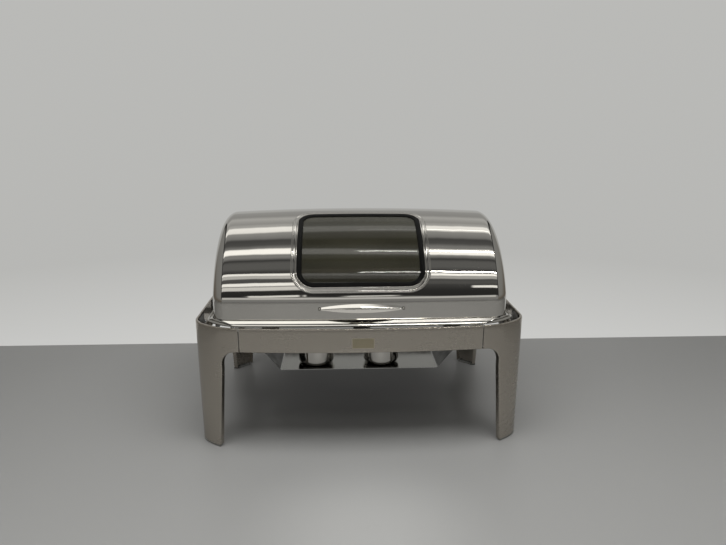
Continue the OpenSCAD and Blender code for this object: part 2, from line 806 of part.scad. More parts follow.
leg_front_left();
leg_front_right();
leg_rear_left();
leg_rear_right();
rail_front();
rail_rear();
rail_left();
rail_right();
splice_plates();
splice_nuts();
foot_guards();
badge_plate();
pan_deck();
deck_brackets();
side_bar_left();
side_bar_right();
pivot_bracket_left();
pivot_bracket_right();
pivot_pin_left();
pivot_pin_right();
pivot_nuts();
bracket_screws();
pivot_washers();
stop_pins();
lid_bumpers();
shelf_hanger_left();
shelf_hanger_right();
hanger_screws();
fuel_shelf();
shelf_screws();
water_pan();
food_pan();
lid_shell();
window_glass();
window_gasket();
window_bezel();
window_retainer();
lid_handle();
handle_studs();
handle_nuts();
hub_plate_left();
hub_plate_right();
hub_bush_left();
hub_bush_right();
hub_rivets();
fuel_cup_left();
cover_pin_left();
fuel_cover_left();
cover_knob_left();
fuel_cup_right();
cover_pin_right();
fuel_cover_right();
cover_knob_right();
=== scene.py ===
"""Looks of the roll top chafer: polished and satin steel, a tinted window, rubber and plastic trim.

Lengths are in millimetres until a mesh is made, and then in metres. X is along the object, the front is -Y.
"""

import json
from math import asin, atan2, copysign, cos, pi, radians, sin, sqrt, tan

import bmesh
import bpy
from mathutils import Matrix, Vector
from mathutils.geometry import tessellate_polygon


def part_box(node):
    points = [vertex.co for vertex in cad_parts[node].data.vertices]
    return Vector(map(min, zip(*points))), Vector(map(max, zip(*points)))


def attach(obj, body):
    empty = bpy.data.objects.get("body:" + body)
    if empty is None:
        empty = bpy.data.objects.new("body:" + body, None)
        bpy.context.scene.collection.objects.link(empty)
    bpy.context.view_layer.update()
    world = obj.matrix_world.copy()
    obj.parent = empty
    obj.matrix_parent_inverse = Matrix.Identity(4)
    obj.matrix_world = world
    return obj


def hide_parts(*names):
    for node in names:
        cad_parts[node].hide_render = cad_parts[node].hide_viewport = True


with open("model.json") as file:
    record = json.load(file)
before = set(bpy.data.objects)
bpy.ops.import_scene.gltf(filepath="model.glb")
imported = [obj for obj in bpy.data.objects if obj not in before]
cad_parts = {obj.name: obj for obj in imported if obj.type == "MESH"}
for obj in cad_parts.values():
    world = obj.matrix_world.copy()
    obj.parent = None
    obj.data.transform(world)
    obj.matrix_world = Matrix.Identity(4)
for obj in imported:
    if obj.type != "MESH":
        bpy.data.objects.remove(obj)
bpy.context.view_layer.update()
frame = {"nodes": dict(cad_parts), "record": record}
MM = 0.001


def box_mm(node):
    """Lowest and highest corner of a CAD node, in millimetres."""
    low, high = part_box(node)
    return [v / MM for v in low], [v / MM for v in high]


# ---- sizes
# the stand's sheet, the gap at its seams, its lower flange and its folded upper edge
SHEET = 1.5
SEAM_GAP = 2.2
RETURN_W = 9.0
BEND = 2.0
HEM_W = 4.5
HEM_R = 2.2
# inner side of the folded edge: (height from the stand's top, depth)
HEM_FOLD = [
    (0, HEM_W - 0.6), (-0.2, HEM_W - 0.15), (-0.6, HEM_W), (-1.2, HEM_W - 0.05), (-SHEET, HEM_W - 0.4),
    (-SHEET, SHEET + 0.6),
]

# the stand's outline, its seams and its legs
SIDE_HALF = box_mm("rail_right")[1][0]
FRONT_HALF = -box_mm("rail_front")[0][1]
RAIL_LOW, STAND_TOP = box_mm("rail_front")[0][2], box_mm("rail_front")[1][2]
GUARD_H = box_mm("foot_guards")[1][2]
SEAM_X, SEAM_Y = 228.0, 120.0
# radii of the front's bow and of the corners, and the degrees that the bow and the corner turn together
STAND_BOW, STAND_CORNER, CORNER_TURN = 2600.0, 130.0, 42.0
FOOT_X, LEG_X = 277.0, 264.0
FOOT_Y, LEG_Y = 170.0, 158.0
# the fillet between a leg and the rail, and where a leg's straight edge ends, as a share of the rail's height
LEG_FILLET = 28.0
KNEE = 0.81
# the badge's corners, its etched field's border, and its rings: (share of its size, depth into the rail)
BADGE_CORNER, BADGE_BORDER = 2.0, 1.6
BADGE_RINGS = [(1.0, 0.4), (1.0, 0.0), (0.985, -0.1), (0.9, -0.1), (0.6, -0.1), (0.3, -0.1)]

# the deck: its plate, its rolled edge, its rear arms and lip, and the opening for the pans
DECK_W, DECK_D, DECK_SEAM, DECK_BOW, DECK_CORNER = 591.0, 442.0, 216.0, 4666.0, 110.0
DECK_LOW, DECK_TOP = 252.0, 253.5
DECK_END_Y = -26.0
ROLL_W = 4.0
ROLL_LOW, ROLL_TOP = 250.5, 255.5
BEAD_TOP = box_mm("pan_deck")[1][2]
ARM_OUT, DECK_REAR, DECK_REAR_R = 274.3, box_mm("pan_deck")[1][1], 24.3
LIP_LOW = 240.0
# the ridge round the lid: where its slope starts and ends, out from the lid, and how steep it is (the roof
# of the handle has the same slope)
RAMP_START, RAMP_END = 3.4, 9.7
RAMP_SLOPE = tan(radians(39.5))
# section of the rolled edge: (in from the deck's outline, height)
ROLL = [
    (4.0, 252.2), (3.9, 254.5), (3.6, 255.2), (3.1, ROLL_TOP), (2.6, 255.2), (1.9, 254.65), (1.2, 254.05),
    (0.5, 253.45), (0.05, 252.9), (0.0, 252.0), (0.3, 251.1), (1.0, 250.6), (1.8, ROLL_LOW), (2.8, 250.6),
    (3.7, 251.3),
]
WELL = (514.0, 305.0, 34.0)

# the lid: an arch over a flat skirt, bowed a little along its length
LID_HALF = box_mm("lid_shell")[1][0]
LID_LOW, LID_TOP = box_mm("lid_shell")[0][2], box_mm("lid_shell")[1][2]
ARCH_R = 216.0
ARCH_Z = LID_TOP - ARCH_R
SKIRT_RISE = 73.0
SKIRT_BLEND = 35.0
LID_END_R, LID_BOW, LID_TURN = 24.0, 5330.0, 45.0
LID_SHEET = 1.2
PIVOT_Z = 262.0
NOTCH_R = 8.0
# how much of the way from the front edge to the top the skirt takes, and where the blend above it ends
SKIRT_SHARE, BLEND_SHARE = 0.2, 0.3

# the window: its half width, the angles of its lower and upper edge, their middle, half the length of the
# arc between them, and the radius of its corners
WINDOW_HALF = box_mm("window_gasket")[1][0]
WINDOW_LOW, WINDOW_HIGH = radians(26.8), radians(77.6)
WINDOW_MID, WINDOW_RISE = (WINDOW_LOW + WINDOW_HIGH) / 2, (WINDOW_HIGH - WINDOW_LOW) / 2 * ARCH_R
WINDOW_R = 32.0
BEZEL_W = 12.0
GASKET_W = 9.0
GLASS_OUT, GLASS_IN = -1.4, -4.4

# the patch of the lid's grid that holds the window's hole
PATCH_X = 150.0
PATCH_LOW, PATCH_HIGH = radians(23.4), radians(83.0)
# sections of the window's trim: (distance out from the window's outline, height above the lid)
BEZEL = [
    (0.5, -0.6), (0.5, 1.2), (0.7, 1.8), (1.2, 2.1), (1.8, 2.15), (2.4, 1.9), (2.9, 1.35), (3.3, 0.85),
    (3.8, 0.6), (6.0, 0.5), (7.8, 0.6), (8.5, 0.9), (9.0, 1.35), (9.8, 1.65), (10.6, 1.6), (11.4, 1.2),
    (11.9, 0.6), (BEZEL_W, 0.02), (BEZEL_W - 0.2, -0.1), (4.0, -0.1),
]
GASKET = [
    (-0.35, -5.2), (0.45, -0.3), (0.45, 1.0), (-0.3, 1.4), (-1.5, 1.4), (-3.5, 1.35), (-5.5, 1.0),
    (-7.4, 0.3), (-8.5, -0.5), (-GASKET_W, GLASS_OUT + 0.1), (-GASKET_W, GLASS_OUT + 0.02),
    (-3.1, GLASS_OUT + 0.02), (-3.1, GLASS_IN - 0.02), (-GASKET_W, GLASS_IN - 0.02),
    (-GASKET_W, GLASS_IN - 0.5), (-8.4, -5.3),
]
# how far the gasket's groove takes the glass in
GLASS_INSET = 3.2

# the handle's place on the lid, and how far its front face leans out at the foot
HANDLE_HALF = 75.5
HANDLE_Y = -box_mm("lid_shell")[1][1] - 1.2
HANDLE_Z = 281.0
HANDLE_LEAN = radians(20)
# the crescent's reach, rise, front height and thickness: (at its tips, more at its middle)
HANDLE_SIZES = [(2.2, 4.5), (-0.3, 3.0), (1.2, 7.5), (0.5, 0.9)]
STUD_X = 78.5
STUD_DOME = [(0.0, 3.2), (1.3, 3.0), (2.3, 2.2), (2.9, 1.0), (3.0, 0.0), (2.0, 0.0), (2.0, -5.5), (0.0, -5.5)]

# the pans' openings and rims: (length, width, corner radius)
WATER_OPENING, WATER_RIM = (510, 302, 32), (536, 331, 24)
FOOD_OPENING, FOOD_RIM = (500, 293, 36), (530, 325, 22)

# the fuel shelf, and the fuel cups with their covers and hinges
SHELF_Z, SHELF_T = 112.0, 1.2
SHELF_HALF, WING_X, WING_Z, WING_FLANGE = 166.0, 197.0, 151.0, 18.0
SHELF_BEND = 3.0
SHELF_FRONT, SHELF_REAR = box_mm("fuel_shelf")[0][1], box_mm("fuel_shelf")[1][1]
CUP_R, CUP_H, CUP_WALL, CUP_BASE_R = 39.0, 46.0, 1.2, 12.0
HINGE_OUT, NECK_R, PIN_HOLE_R = 5.0, 6.0, 2.15


def add_object(name, data):
    made = bpy.data.objects.new(name, data)
    bpy.context.scene.collection.objects.link(made)
    return made


# ---- outlines
class Outline:
    """A rounded plan: slow bows, wide corner arcs, tighter blend arcs and straight sides.

    Places on it are distances s along it from the middle of the front, and it repeats mirrored past the
    middle of the front (s below 0) and past the middle of the right side (s above its quarter length).
    """

    def __init__(self, width, depth, seam, bow, corner, turn_deg):
        turn = radians(turn_deg)
        start = asin(seam / bow)
        tight = (width / 2 - seam - corner * (sin(turn) - seam / bow)) / (1 - sin(turn))
        first = Vector((0, bow - depth / 2))
        second = first + (bow - corner) * self.heading(start)
        third = second + (corner - tight) * self.heading(turn)
        self.arcs = [(first, bow, 0, start), (second, corner, start, turn), (third, tight, turn, pi / 2)]
        self.round_length = sum(radius * (b - a) for _, radius, a, b in self.arcs)
        self.length = self.round_length - third[1]
        self.half_width = width / 2

    @staticmethod
    def heading(angle):
        return Vector((sin(angle), -cos(angle)))

    def at(self, s, inset=0.0):
        """(point, outward normal) at s, set in by the given distance."""
        if s < 0:
            p, n = self.at(-s, inset)
            return Vector((-p[0], p[1])), Vector((-n[0], n[1]))
        if s > self.length:
            p, n = self.at(2 * self.length - s, inset)
            return Vector((p[0], -p[1])), Vector((n[0], -n[1]))
        for centre, radius, a, b in self.arcs:
            run = radius * (b - a)
            if s <= run:
                n = self.heading(a + s / radius)
                return centre + (radius - inset) * n, n
            s -= run
        last = self.arcs[-1][0]
        return Vector((self.half_width - inset, last[1] + s)), Vector((1, 0))

    def where(self, axis, value):
        """s on the first quarter where the outline's X (axis 0) or -Y (axis 1) has this value."""
        low, high = 0.0, self.length
        for _ in range(40):
            mid = (low + high) / 2
            reached = self.at(mid)[0][0] > value if axis == 0 else -self.at(mid)[0][1] < value
            low, high = (low, mid) if reached else (mid, high)
        return (low + high) / 2

    def stations(self, start, end, turn_deg=4.0, run=22.0):
        """Places from start to end, close together where the outline turns quickly."""
        out = [start]
        while out[-1] < end - 1e-6:
            s = out[-1] + 1e-6
            local = abs(s)
            local = 2 * self.length - local if local > self.length else local
            radius = 1e6
            for _, r, a, b in self.arcs:
                if local < r * (b - a):
                    radius = r
                    break
                local -= r * (b - a)
            out.append(out[-1] + min(run, radius * radians(turn_deg)))
        out[-1] = end
        if len(out) > 2 and out[-1] - out[-2] < 0.2:
            del out[-2]
        return out


STAND = Outline(2 * SIDE_HALF, 2 * FRONT_HALF, SEAM_X, STAND_BOW, STAND_CORNER, CORNER_TURN)
DECK = Outline(DECK_W, DECK_D, DECK_SEAM, DECK_BOW, DECK_CORNER, CORNER_TURN)
# the lid's lengthwise profile: X along the lid, -Y the distance from the arch's centre
LID = Outline(2 * LID_HALF, 2 * ARCH_R, LID_HALF - LID_END_R, LID_BOW, LID_END_R, LID_TURN)


def turns(first, last, steps):
    """Angles in radians from first to last degrees, in equal steps."""
    return [radians(first + (last - first) * k / steps) for k in range(steps + 1)]


def arc(x, y, radius, first, last, steps):
    """Points on an arc round (x, y), from first to last degrees."""
    return [(x + radius * cos(a), y + radius * sin(a)) for a in turns(first, last, steps)]


def rounded_rect(length, width, radius, steps=8):
    """A rounded rectangle in plan, as a loop of points."""
    x, y = length / 2 - radius, width / 2 - radius
    corners = enumerate([(x, y), (-x, y), (-x, -y), (x, -y)])
    return [p for k, corner in corners for p in arc(*corner, radius, 90 * k, 90 * k + 90, steps)]


# ---- mesh building
class Build:
    """Gathers points and faces in millimetres and makes one piece of them."""

    def __init__(self):
        self.points = []
        self.faces = []
        self.normals = []

    def grid(self, rows, normals=None, wrap=False):
        """Quads over rows of points. With wrap, each row is a closed loop."""
        base, wide = len(self.points), len(rows[0])
        for row in rows:
            self.points.extend(Vector(p) for p in row)
        if normals:
            for row in normals:
                self.normals.extend(row)
        for i in range(len(rows) - 1):
            start = base + i * wide
            for j in range(wide if wrap else wide - 1):
                k = (j + 1) % wide
                self.faces.append((start + j, start + k, start + wide + k, start + wide + j))

    def face(self, loop, normal=None):
        """One face, with the given normal at all its points."""
        base = len(self.points)
        self.points.extend(Vector(p) for p in loop)
        self.faces.append(tuple(range(base, base + len(loop))))
        if normal is not None:
            self.normals.extend([normal] * len(loop))

    def loft(self, loops, ring=False):
        """A solid through closed loops, capped at both ends, or closed on itself with ring."""
        self.grid(loops + [loops[0]] if ring else loops, wrap=True)
        if not ring:
            self.face(loops[0])
            self.face(loops[-1])
        return self

    def plate(self, loops, low, high):
        """A flat plate between two heights. The first loop is its outline in plan, the others are holes."""
        flat = [[Vector((p[0], p[1], 0)) for p in loop] for loop in loops]
        triangles = tessellate_polygon(flat)
        for z in (low, high):
            base = len(self.points)
            self.points.extend(Vector((p[0], p[1], z)) for loop in flat for p in loop)
            self.faces.extend(tuple(base + i for i in t) for t in triangles)
        for loop in loops:
            self.grid([[(p[0], p[1], z) for p in loop] for z in (low, high)], wrap=True)

    def lathe(self, profile, centre, steps=64, axis="z"):
        """Turns (radius, height) points round an upright or lengthwise axis through centre."""
        rows = []
        for radius, height in profile:
            row = []
            for a in turns(0, 360, steps)[:-1]:
                p = (radius * cos(a), radius * sin(a), height)
                if axis == "y":
                    p = (p[0], -p[2], p[1])
                row.append(Vector(centre) + Vector(p))
            rows.append(row)
        self.grid(rows, wrap=True)
        return self

    def make(self, name, body, slot, replaces, angle=34.0):
        """The piece itself. Without given normals its doubled points are merged and it is shaded by angle."""
        mesh = bpy.data.meshes.new(name)
        mesh.from_pydata([p * MM for p in self.points], [], self.faces)
        if not self.normals:
            bm = bmesh.new()
            bm.from_mesh(mesh)
            bmesh.ops.remove_doubles(bm, verts=bm.verts, dist=0.002 * MM)
            bmesh.ops.dissolve_degenerate(bm, edges=bm.edges, dist=0.001 * MM)
            bmesh.ops.recalc_face_normals(bm, faces=bm.faces)
            bm.to_mesh(mesh)
            bm.free()
            mesh.shade_smooth()
            mesh.set_sharp_from_angle(angle=radians(angle))
        else:
            mesh.shade_smooth()
            mesh.normals_split_custom_set_from_vertices(self.normals)
        piece = add_object(name, mesh)
        mesh.materials.append(MATERIALS[slot])
        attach(piece, body)
        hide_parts(*replaces)
        return piece


# ---- materials
class Tree:
    """Short calls for making nodes and links."""

    def __init__(self, tree):
        self.tree = tree

    def add(self, kind, inputs=None, **settings):
        made = self.tree.nodes.new(kind)
        for key, value in settings.items():
            setattr(made, key, value)
        for key, value in (inputs or {}).items():
            if isinstance(value, bpy.types.NodeSocket):
                self.tree.links.new(value, made.inputs[key])
            else:
                made.inputs[key].default_value = value
        return made

    def feed(self, shader, name, socket):
        """Links a socket to the named input of a shader."""
        self.tree.links.new(socket, shader.inputs[name])

    def math(self, operation, a, b=0.0):
        return self.add("ShaderNodeMath", {0: a, 1: b}, operation=operation).outputs[0]

    def plus(self, a, b):
        return self.math("ADD", a, b)

    def times(self, a, b):
        return self.math("MULTIPLY", a, b)

    def noise(self, coords, scale, detail=3.0, stretch=(1, 1, 1)):
        mapped = self.add("ShaderNodeMapping", {"Vector": coords, "Scale": stretch}).outputs[0]
        keys = {"Vector": mapped, "Scale": scale, "Detail": detail}
        return self.add("ShaderNodeTexNoise", keys).outputs["Fac"]

    def between(self, value, low, high, from_low=0.3, from_high=0.7, **settings):
        """Maps a value, by default that of a noise, to the range low to high."""
        keys = {"Value": value, "From Min": from_low, "From Max": from_high, "To Min": low, "To Max": high}
        return self.add("ShaderNodeMapRange", keys, **settings).outputs["Result"]

    def step(self, value, start, end, below=0.0, above=1.0):
        """A smooth change from below to above while the value goes from start to end."""
        return self.between(value, below, above, start, end, interpolation_type="SMOOTHSTEP")

    def bump(self, value, centre, half, soft=0.35):
        """1 within half of the centre, falling smoothly to 0 outside."""
        off = self.math("ABSOLUTE", self.math("SUBTRACT", value, centre))
        return self.step(off, half * (1 - soft), half * (1 + soft), 1.0, 0.0)

    def relief(self, height, depth, **settings):
        """A surface normal from a height map of this depth in millimetres."""
        keys = {"Height": height, "Distance": depth * MM, "Strength": 1.0, **settings}
        return self.add("ShaderNodeBump", keys).outputs["Normal"]

    def scaled(self, vector, factor):
        return self.add("ShaderNodeVectorMath", {0: vector, "Scale": factor}, operation="SCALE").outputs[0]

    def blend(self, factor, a, b):
        """A colour between a and b, which are colours or sockets."""
        low, high = (c if isinstance(c, bpy.types.NodeSocket) else (*c, 1) for c in (a, b))
        return self.add("ShaderNodeMix", {0: factor, 6: low, 7: high}, data_type="RGBA").outputs[2]

    def ramp(self, value, stops):
        """A colour ramp with the given (position, colour) stops."""
        made = self.add("ShaderNodeValToRGB", {"Fac": value})
        elements = made.color_ramp.elements
        elements[0].position, elements[1].position = 0.0, 1.0
        while len(elements) < len(stops):
            elements.new(0.5)
        for element, (position, colour) in zip(elements, stops):
            element.position = position
            element.color = (*colour, 1)
        return made.outputs["Color"]


def material(name, **settings):
    """A new material: (material, tree, shader, object coordinates)."""
    made = bpy.data.materials.new(name)
    made.use_nodes = True
    shader = made.node_tree.nodes["Principled BSDF"]
    for key, value in settings.items():
        shader.inputs[key.replace("_", " ")].default_value = value
    tree = Tree(made.node_tree)
    return made, tree, shader, tree.add("ShaderNodeTexCoord").outputs["Object"]


def steel(name, colour, rough, vary, grain=None, grain_depth=0.0, wave_depth=0.0, brushed=0.0, smudge=0.04):
    """Stainless steel, rough to within vary. Grain is a stretch of the noise that makes the brushing, and its
    large axis runs across the brush lines. Wave is the slow unevenness of pressed sheet."""
    made, tree, shader, coords = material(name, Metallic=1.0, Anisotropic=brushed)
    cloud = tree.noise(coords, 9.0, 4.0)
    spots = tree.noise(coords, 70.0, 2.0)
    lines = tree.noise(coords, 1.0, 2.0, grain or (240, 240, 240))
    mixed = tree.plus(tree.times(cloud, 0.7), tree.times(lines, 0.3))
    tones = [tuple(c * factor for c in colour) for factor in (1 - smudge, 1 + smudge)]
    tree.feed(shader, "Base Color", tree.blend(tree.between(mixed, 0.0, 1.0), *tones))
    wear = tree.plus(tree.times(spots, 0.35), tree.times(cloud, 0.65))
    roughness = tree.between(wear, rough - vary, rough + vary)
    if grain:
        roughness = tree.plus(roughness, tree.between(lines, -0.5 * vary, 0.5 * vary))
    tree.feed(shader, "Roughness", roughness)
    under = {}
    if wave_depth:
        under["Normal"] = tree.relief(tree.noise(coords, 1.0, 1.0, (9, 16, 16)), wave_depth)
    if grain_depth:
        under["Normal"] = tree.relief(lines, grain_depth, **under)
    if under:
        tree.feed(shader, "Normal", under["Normal"])
    return made


def dull(name, dark, light, rough, grain_scale, depth, **settings):
    """Rubber, plastic and the like: a fine mottled colour, uneven gloss and a grained surface."""
    made, tree, shader, coords = material(name, **settings)
    cloud = tree.noise(coords, 35.0, 4.0)
    fine = tree.noise(coords, grain_scale, 3.0)
    tree.feed(shader, "Base Color", tree.blend(tree.between(cloud, 0.0, 1.0), dark, light))
    tree.feed(shader, "Roughness", tree.between(fine, rough - 0.08, rough + 0.08))
    tree.feed(shader, "Normal", tree.relief(fine, depth))
    return made


def shelf_steel():
    """Polished along the shelf's floor, duller on its sloping wings, and darker there as painted shade."""
    made = steel("shelf_steel", (0.42, 0.42, 0.41), 0.12, 0.04, (20, 900, 900), 0.002, 0.3)
    tree, shader = Tree(made.node_tree), made.node_tree.nodes["Principled BSDF"]
    coords = tree.add("ShaderNodeTexCoord").outputs["Object"]
    along = tree.math("ABSOLUTE", tree.add("ShaderNodeSeparateXYZ", {"Vector": coords}).outputs[0])
    wing = tree.step(along, (SHELF_HALF - 1) * MM, (SHELF_HALF + 2) * MM)
    mottle = tree.between(tree.noise(coords, 60.0, 4.0), 0.3, 0.5)
    rough, colour = (shader.inputs[name].links[0].from_socket for name in ("Roughness", "Base Color"))
    tree.feed(shader, "Roughness", tree.plus(rough, tree.times(wing, mottle)))
    # painted shade: the wings' colour is darkened
    painted_wing_shade = tree.math("SUBTRACT", 1.0, tree.times(wing, 0.62))
    tree.feed(shader, "Base Color", tree.scaled(colour, painted_wing_shade))
    return made


def tinted_glass():
    """Dark glass that lets less than half of the light through, with a slightly uneven film on it."""
    made, tree, shader, coords = material("tinted_glass", IOR=1.75, Alpha=0.6)
    film = tree.noise(coords, 14.0, 3.0, (0.4, 1.6, 1.6))
    tree.feed(shader, "Roughness", tree.between(film, 0.036, 0.042))
    tint = tree.blend(tree.between(film, 0.0, 1.0), (0.012, 0.0115, 0.007), (0.024, 0.023, 0.014))
    tree.feed(shader, "Base Color", tint)
    return made


def etched_badge():
    """The blank plate: an etched field inside a polished border."""
    made, tree, shader, coords = material("etched_badge", Metallic=1.0)
    low, high = box_mm("badge_plate")
    parts = tree.add("ShaderNodeSeparateXYZ", {"Vector": coords}).outputs
    masks = []
    for axis in (0, 2):
        off = tree.math("ABSOLUTE", tree.math("SUBTRACT", parts[axis], (low[axis] + high[axis]) / 2 * MM))
        masks.append(tree.math("LESS_THAN", off, ((high[axis] - low[axis]) / 2 - BADGE_BORDER) * MM))
    etched = tree.times(tree.times(*masks), tree.between(tree.noise(coords, 900.0, 3.0), 0.75, 1.0))
    tree.feed(shader, "Base Color", tree.blend(etched, (0.52, 0.47, 0.38), (0.42, 0.375, 0.27)))
    tree.feed(shader, "Roughness", tree.between(etched, 0.28, 0.55, 0.0, 1.0))
    tree.feed(shader, "Normal", tree.relief(tree.times(etched, -1.0), 0.12))
    return made


MATERIALS = {
    "polished_steel": steel("polished_steel", (0.56, 0.545, 0.515), 0.032, 0.012, wave_depth=0.35),
    "satin_steel": steel("satin_steel", (0.455, 0.42, 0.37), 0.25, 0.04, grain=(30, 30, 1500),
                         grain_depth=0.001, brushed=0.3, smudge=0.02),
    "bracket_steel": steel("bracket_steel", (0.27, 0.265, 0.255), 0.42, 0.08, grain=(60, 60, 900),
                           grain_depth=0.006, smudge=0.08),
    "shelf_steel": shelf_steel(),
    "pan_steel": steel("pan_steel", (0.60, 0.595, 0.58), 0.2, 0.06, grain=(30, 700, 700),
                       grain_depth=0.003, wave_depth=0.2),
    "zinc_fastener": steel("zinc_fastener", (0.52, 0.52, 0.53), 0.3, 0.1, smudge=0.12),
    "badge": etched_badge(),
    "tinted_glass": tinted_glass(),
    "foot_plastic": dull("foot_plastic", (0.10, 0.10, 0.095), (0.15, 0.15, 0.14), 0.35, 400, 0.02),
    "black_rubber": dull("black_rubber", (0.0015, 0.0015, 0.0015), (0.003, 0.003, 0.0028), 0.5, 900, 0.01,
                         Specular_IOR_Level=0.12),
    "bumper_rubber": dull("bumper_rubber", (0.01, 0.01, 0.01), (0.02, 0.02, 0.019), 0.6, 900, 0.03),
    "nylon": dull("nylon", (0.30, 0.29, 0.25), (0.38, 0.37, 0.33), 0.45, 500, 0.02),
    "black_knob": dull("black_knob", (0.004, 0.004, 0.004), (0.009, 0.0085, 0.008), 0.2, 300, 0.01),
}


# ---- stand
def fold(radius):
    """(distance from the sheet's edge, depth) round the fold between wall and flange."""
    return arc(BEND, BEND, radius, 180, 270, 4)


def wall_section(spot, flange, flip):
    """One closed section of the stand's sheet: flange, fold, wall, folded top edge and back down inside.

    spot(u) gives the place along the outline and the height at u from the sheet's lower edge.
    """
    deep = SHEET + RETURN_W if flange else SHEET

    def put(s, z, depth):
        p = STAND.at(s, depth)[0]
        return p[0] * flip[0], p[1] * flip[1], z

    def low(u, depth):
        s, z = spot(u)
        return put(s, z, min(depth, deep))

    s, start = spot(BEND)
    top = STAND_TOP - HEM_R
    inner_top = STAND_TOP - SHEET - 0.6
    rows = [0.2, 0.4, 0.6, 0.8, 1.0]
    section = [low(0, deep), low(0, (deep + BEND) / 2)]
    section += [low(u, d) for u, d in fold(BEND)]
    section += [put(s, start + (top - start) * f, 0) for f in rows]
    section += [put(s, top + HEM_R * sin(a), HEM_R - HEM_R * cos(a)) for a in turns(30, 90, 2)]
    section += [put(s, STAND_TOP + z, depth) for z, depth in HEM_FOLD]
    section += [put(s, start + (inner_top - start) * f, SHEET) for f in reversed(rows)]
    section += [low(u, d) for u, d in reversed(fold(BEND - SHEET))]
    section += [low(SHEET, (deep + BEND) / 2), low(SHEET, deep)]
    return section


def inner_edge(foot, top, seam):
    """Functions of u for the points up a leg's inner edge, from the floor to the seam: (distance, height)."""
    knee = KNEE * RAIL_LOW
    edges = []
    for k in range(9):
        z = GUARD_H + (knee - GUARD_H) * k / 8
        h = foot + (top - foot) * (z + 1) / (knee + 1)
        edges.append(lambda u, h=h, z=z: (h + u, z))
    for a in turns(0, 90, 10):
        edges.append(lambda u, a=a: (
            top - LEG_FILLET + (LEG_FILLET + u) * cos(a),
            RAIL_LOW - LEG_FILLET + (LEG_FILLET + u) * sin(a),
        ))
    edges.append(lambda u: (seam + SEAM_GAP / 2, RAIL_LOW + u))
    return edges


def leg_columns():
    """The spots of a leg's sections, from the front seam round the corner to the side seam."""
    def spot(axis, edge):
        def found(u):
            h, z = edge(u)
            return STAND.where(axis, h), z
        return found

    columns = [(spot(0, e), True) for e in reversed(inner_edge(FOOT_X, LEG_X, SEAM_X))]
    first, last = STAND.where(0, FOOT_X + BEND), STAND.where(1, FOOT_Y + BEND)
    for s in STAND.stations(first, last, 3.0, 12.0):
        columns.append((lambda u, s=s: (s, GUARD_H), False))
    columns += [(spot(1, e), True) for e in inner_edge(FOOT_Y, LEG_Y, SEAM_Y)]
    return columns


def legs():
    """Four legs of one shape, mirrored to their corners."""
    columns = leg_columns()
    for along, sx in (("left", -1), ("right", 1)):
        for across, sy in (("front", 1), ("rear", -1)):
            sections = [wall_section(spot, flange, (sx, sy)) for spot, flange in columns]
            name = f"leg_{across}_{along}"
            Build().loft(sections).make(f"{name}_sheet", "stand", "satin_steel", [name])


def rails():
    """The four walls between the legs, from seam to seam."""
    reach = STAND.where(0, SEAM_X - SEAM_GAP / 2)
    ends = STAND.where(1, SEAM_Y - SEAM_GAP / 2)
    runs = {
        "rail_front": (-reach, reach, (1, 1)),
        "rail_rear": (-reach, reach, (1, -1)),
        "rail_right": (ends, 2 * STAND.length - ends, (1, 1)),
        "rail_left": (ends, 2 * STAND.length - ends, (-1, 1)),
    }
    for name, (start, end, flip) in runs.items():
        places = STAND.stations(start, end)
        sections = [wall_section(lambda u, s=s: (s, RAIL_LOW + u), True, flip) for s in places]
        Build().loft(sections).make(f"{name}_sheet", "stand", "satin_steel", [name])


def badge():
    """A thin blank plate whose rounded face follows the rail's bow."""
    low, high = box_mm("badge_plate")
    mid_x, mid_z = (low[0] + high[0]) / 2, (low[2] + high[2]) / 2
    loop = rounded_rect(high[0] - low[0], high[2] - low[2], BADGE_CORNER, 5)
    rings = []
    for scale, depth in BADGE_RINGS:
        ring = []
        for x, z in loop:
            p = STAND.at(STAND.where(0, abs(mid_x + x * scale)), depth)[0]
            ring.append((mid_x + x * scale, p[1], mid_z + z * scale))
        rings.append(ring)
    Build().loft(rings).make("badge_face", "stand", "badge", ["badge_plate"])


# ---- deck
def lid_plan(s):
    """(point, outward normal) in plan of the lid's skirt at s along its profile, then along its end."""
    if s > LID.round_length:
        p, _ = lid_plan(LID.round_length)
        return Vector((p[0], p[1] + s - LID.round_length)), Vector((1, 0))
    p, n = LID.at(s)
    y = -sqrt(p[1] ** 2 - SKIRT_RISE**2)
    return Vector((p[0], y)), Vector((n[0] * p[1] / y, -abs(n[1]))).normalized()


def deck():
    """The pressed deck: its plate, the lip behind it, its rolled edge and the ridge round the lid."""
    build = Build()
    end = DECK.length + DECK_END_Y
    edge = [DECK.at(s, 1.0)[0] for s in DECK.stations(-end, end)]
    half, front = ARM_OUT - DECK_REAR_R, DECK_REAR - SHEET
    rear = [(ARM_OUT, DECK_END_Y)] + arc(half, DECK_REAR - DECK_REAR_R, DECK_REAR_R, 0, 90, 8)
    outer = edge + rear + [(-x, y) for x, y in reversed(rear)]
    build.plate([outer, rounded_rect(*WELL)], DECK_LOW, DECK_TOP)
    lip = [(-half, front), (half, front), (half, DECK_REAR), (-half, DECK_REAR)]
    build.plate([lip], LIP_LOW, DECK_LOW + 0.01)
    build.loft([[(*DECK.at(s, inset)[0], z) for inset, z in ROLL] for s in DECK.stations(-end, end, 3.0)])
    build.loft(lid_ridge())
    build.make("deck_pressing", "stand", "polished_steel", ["pan_deck"])


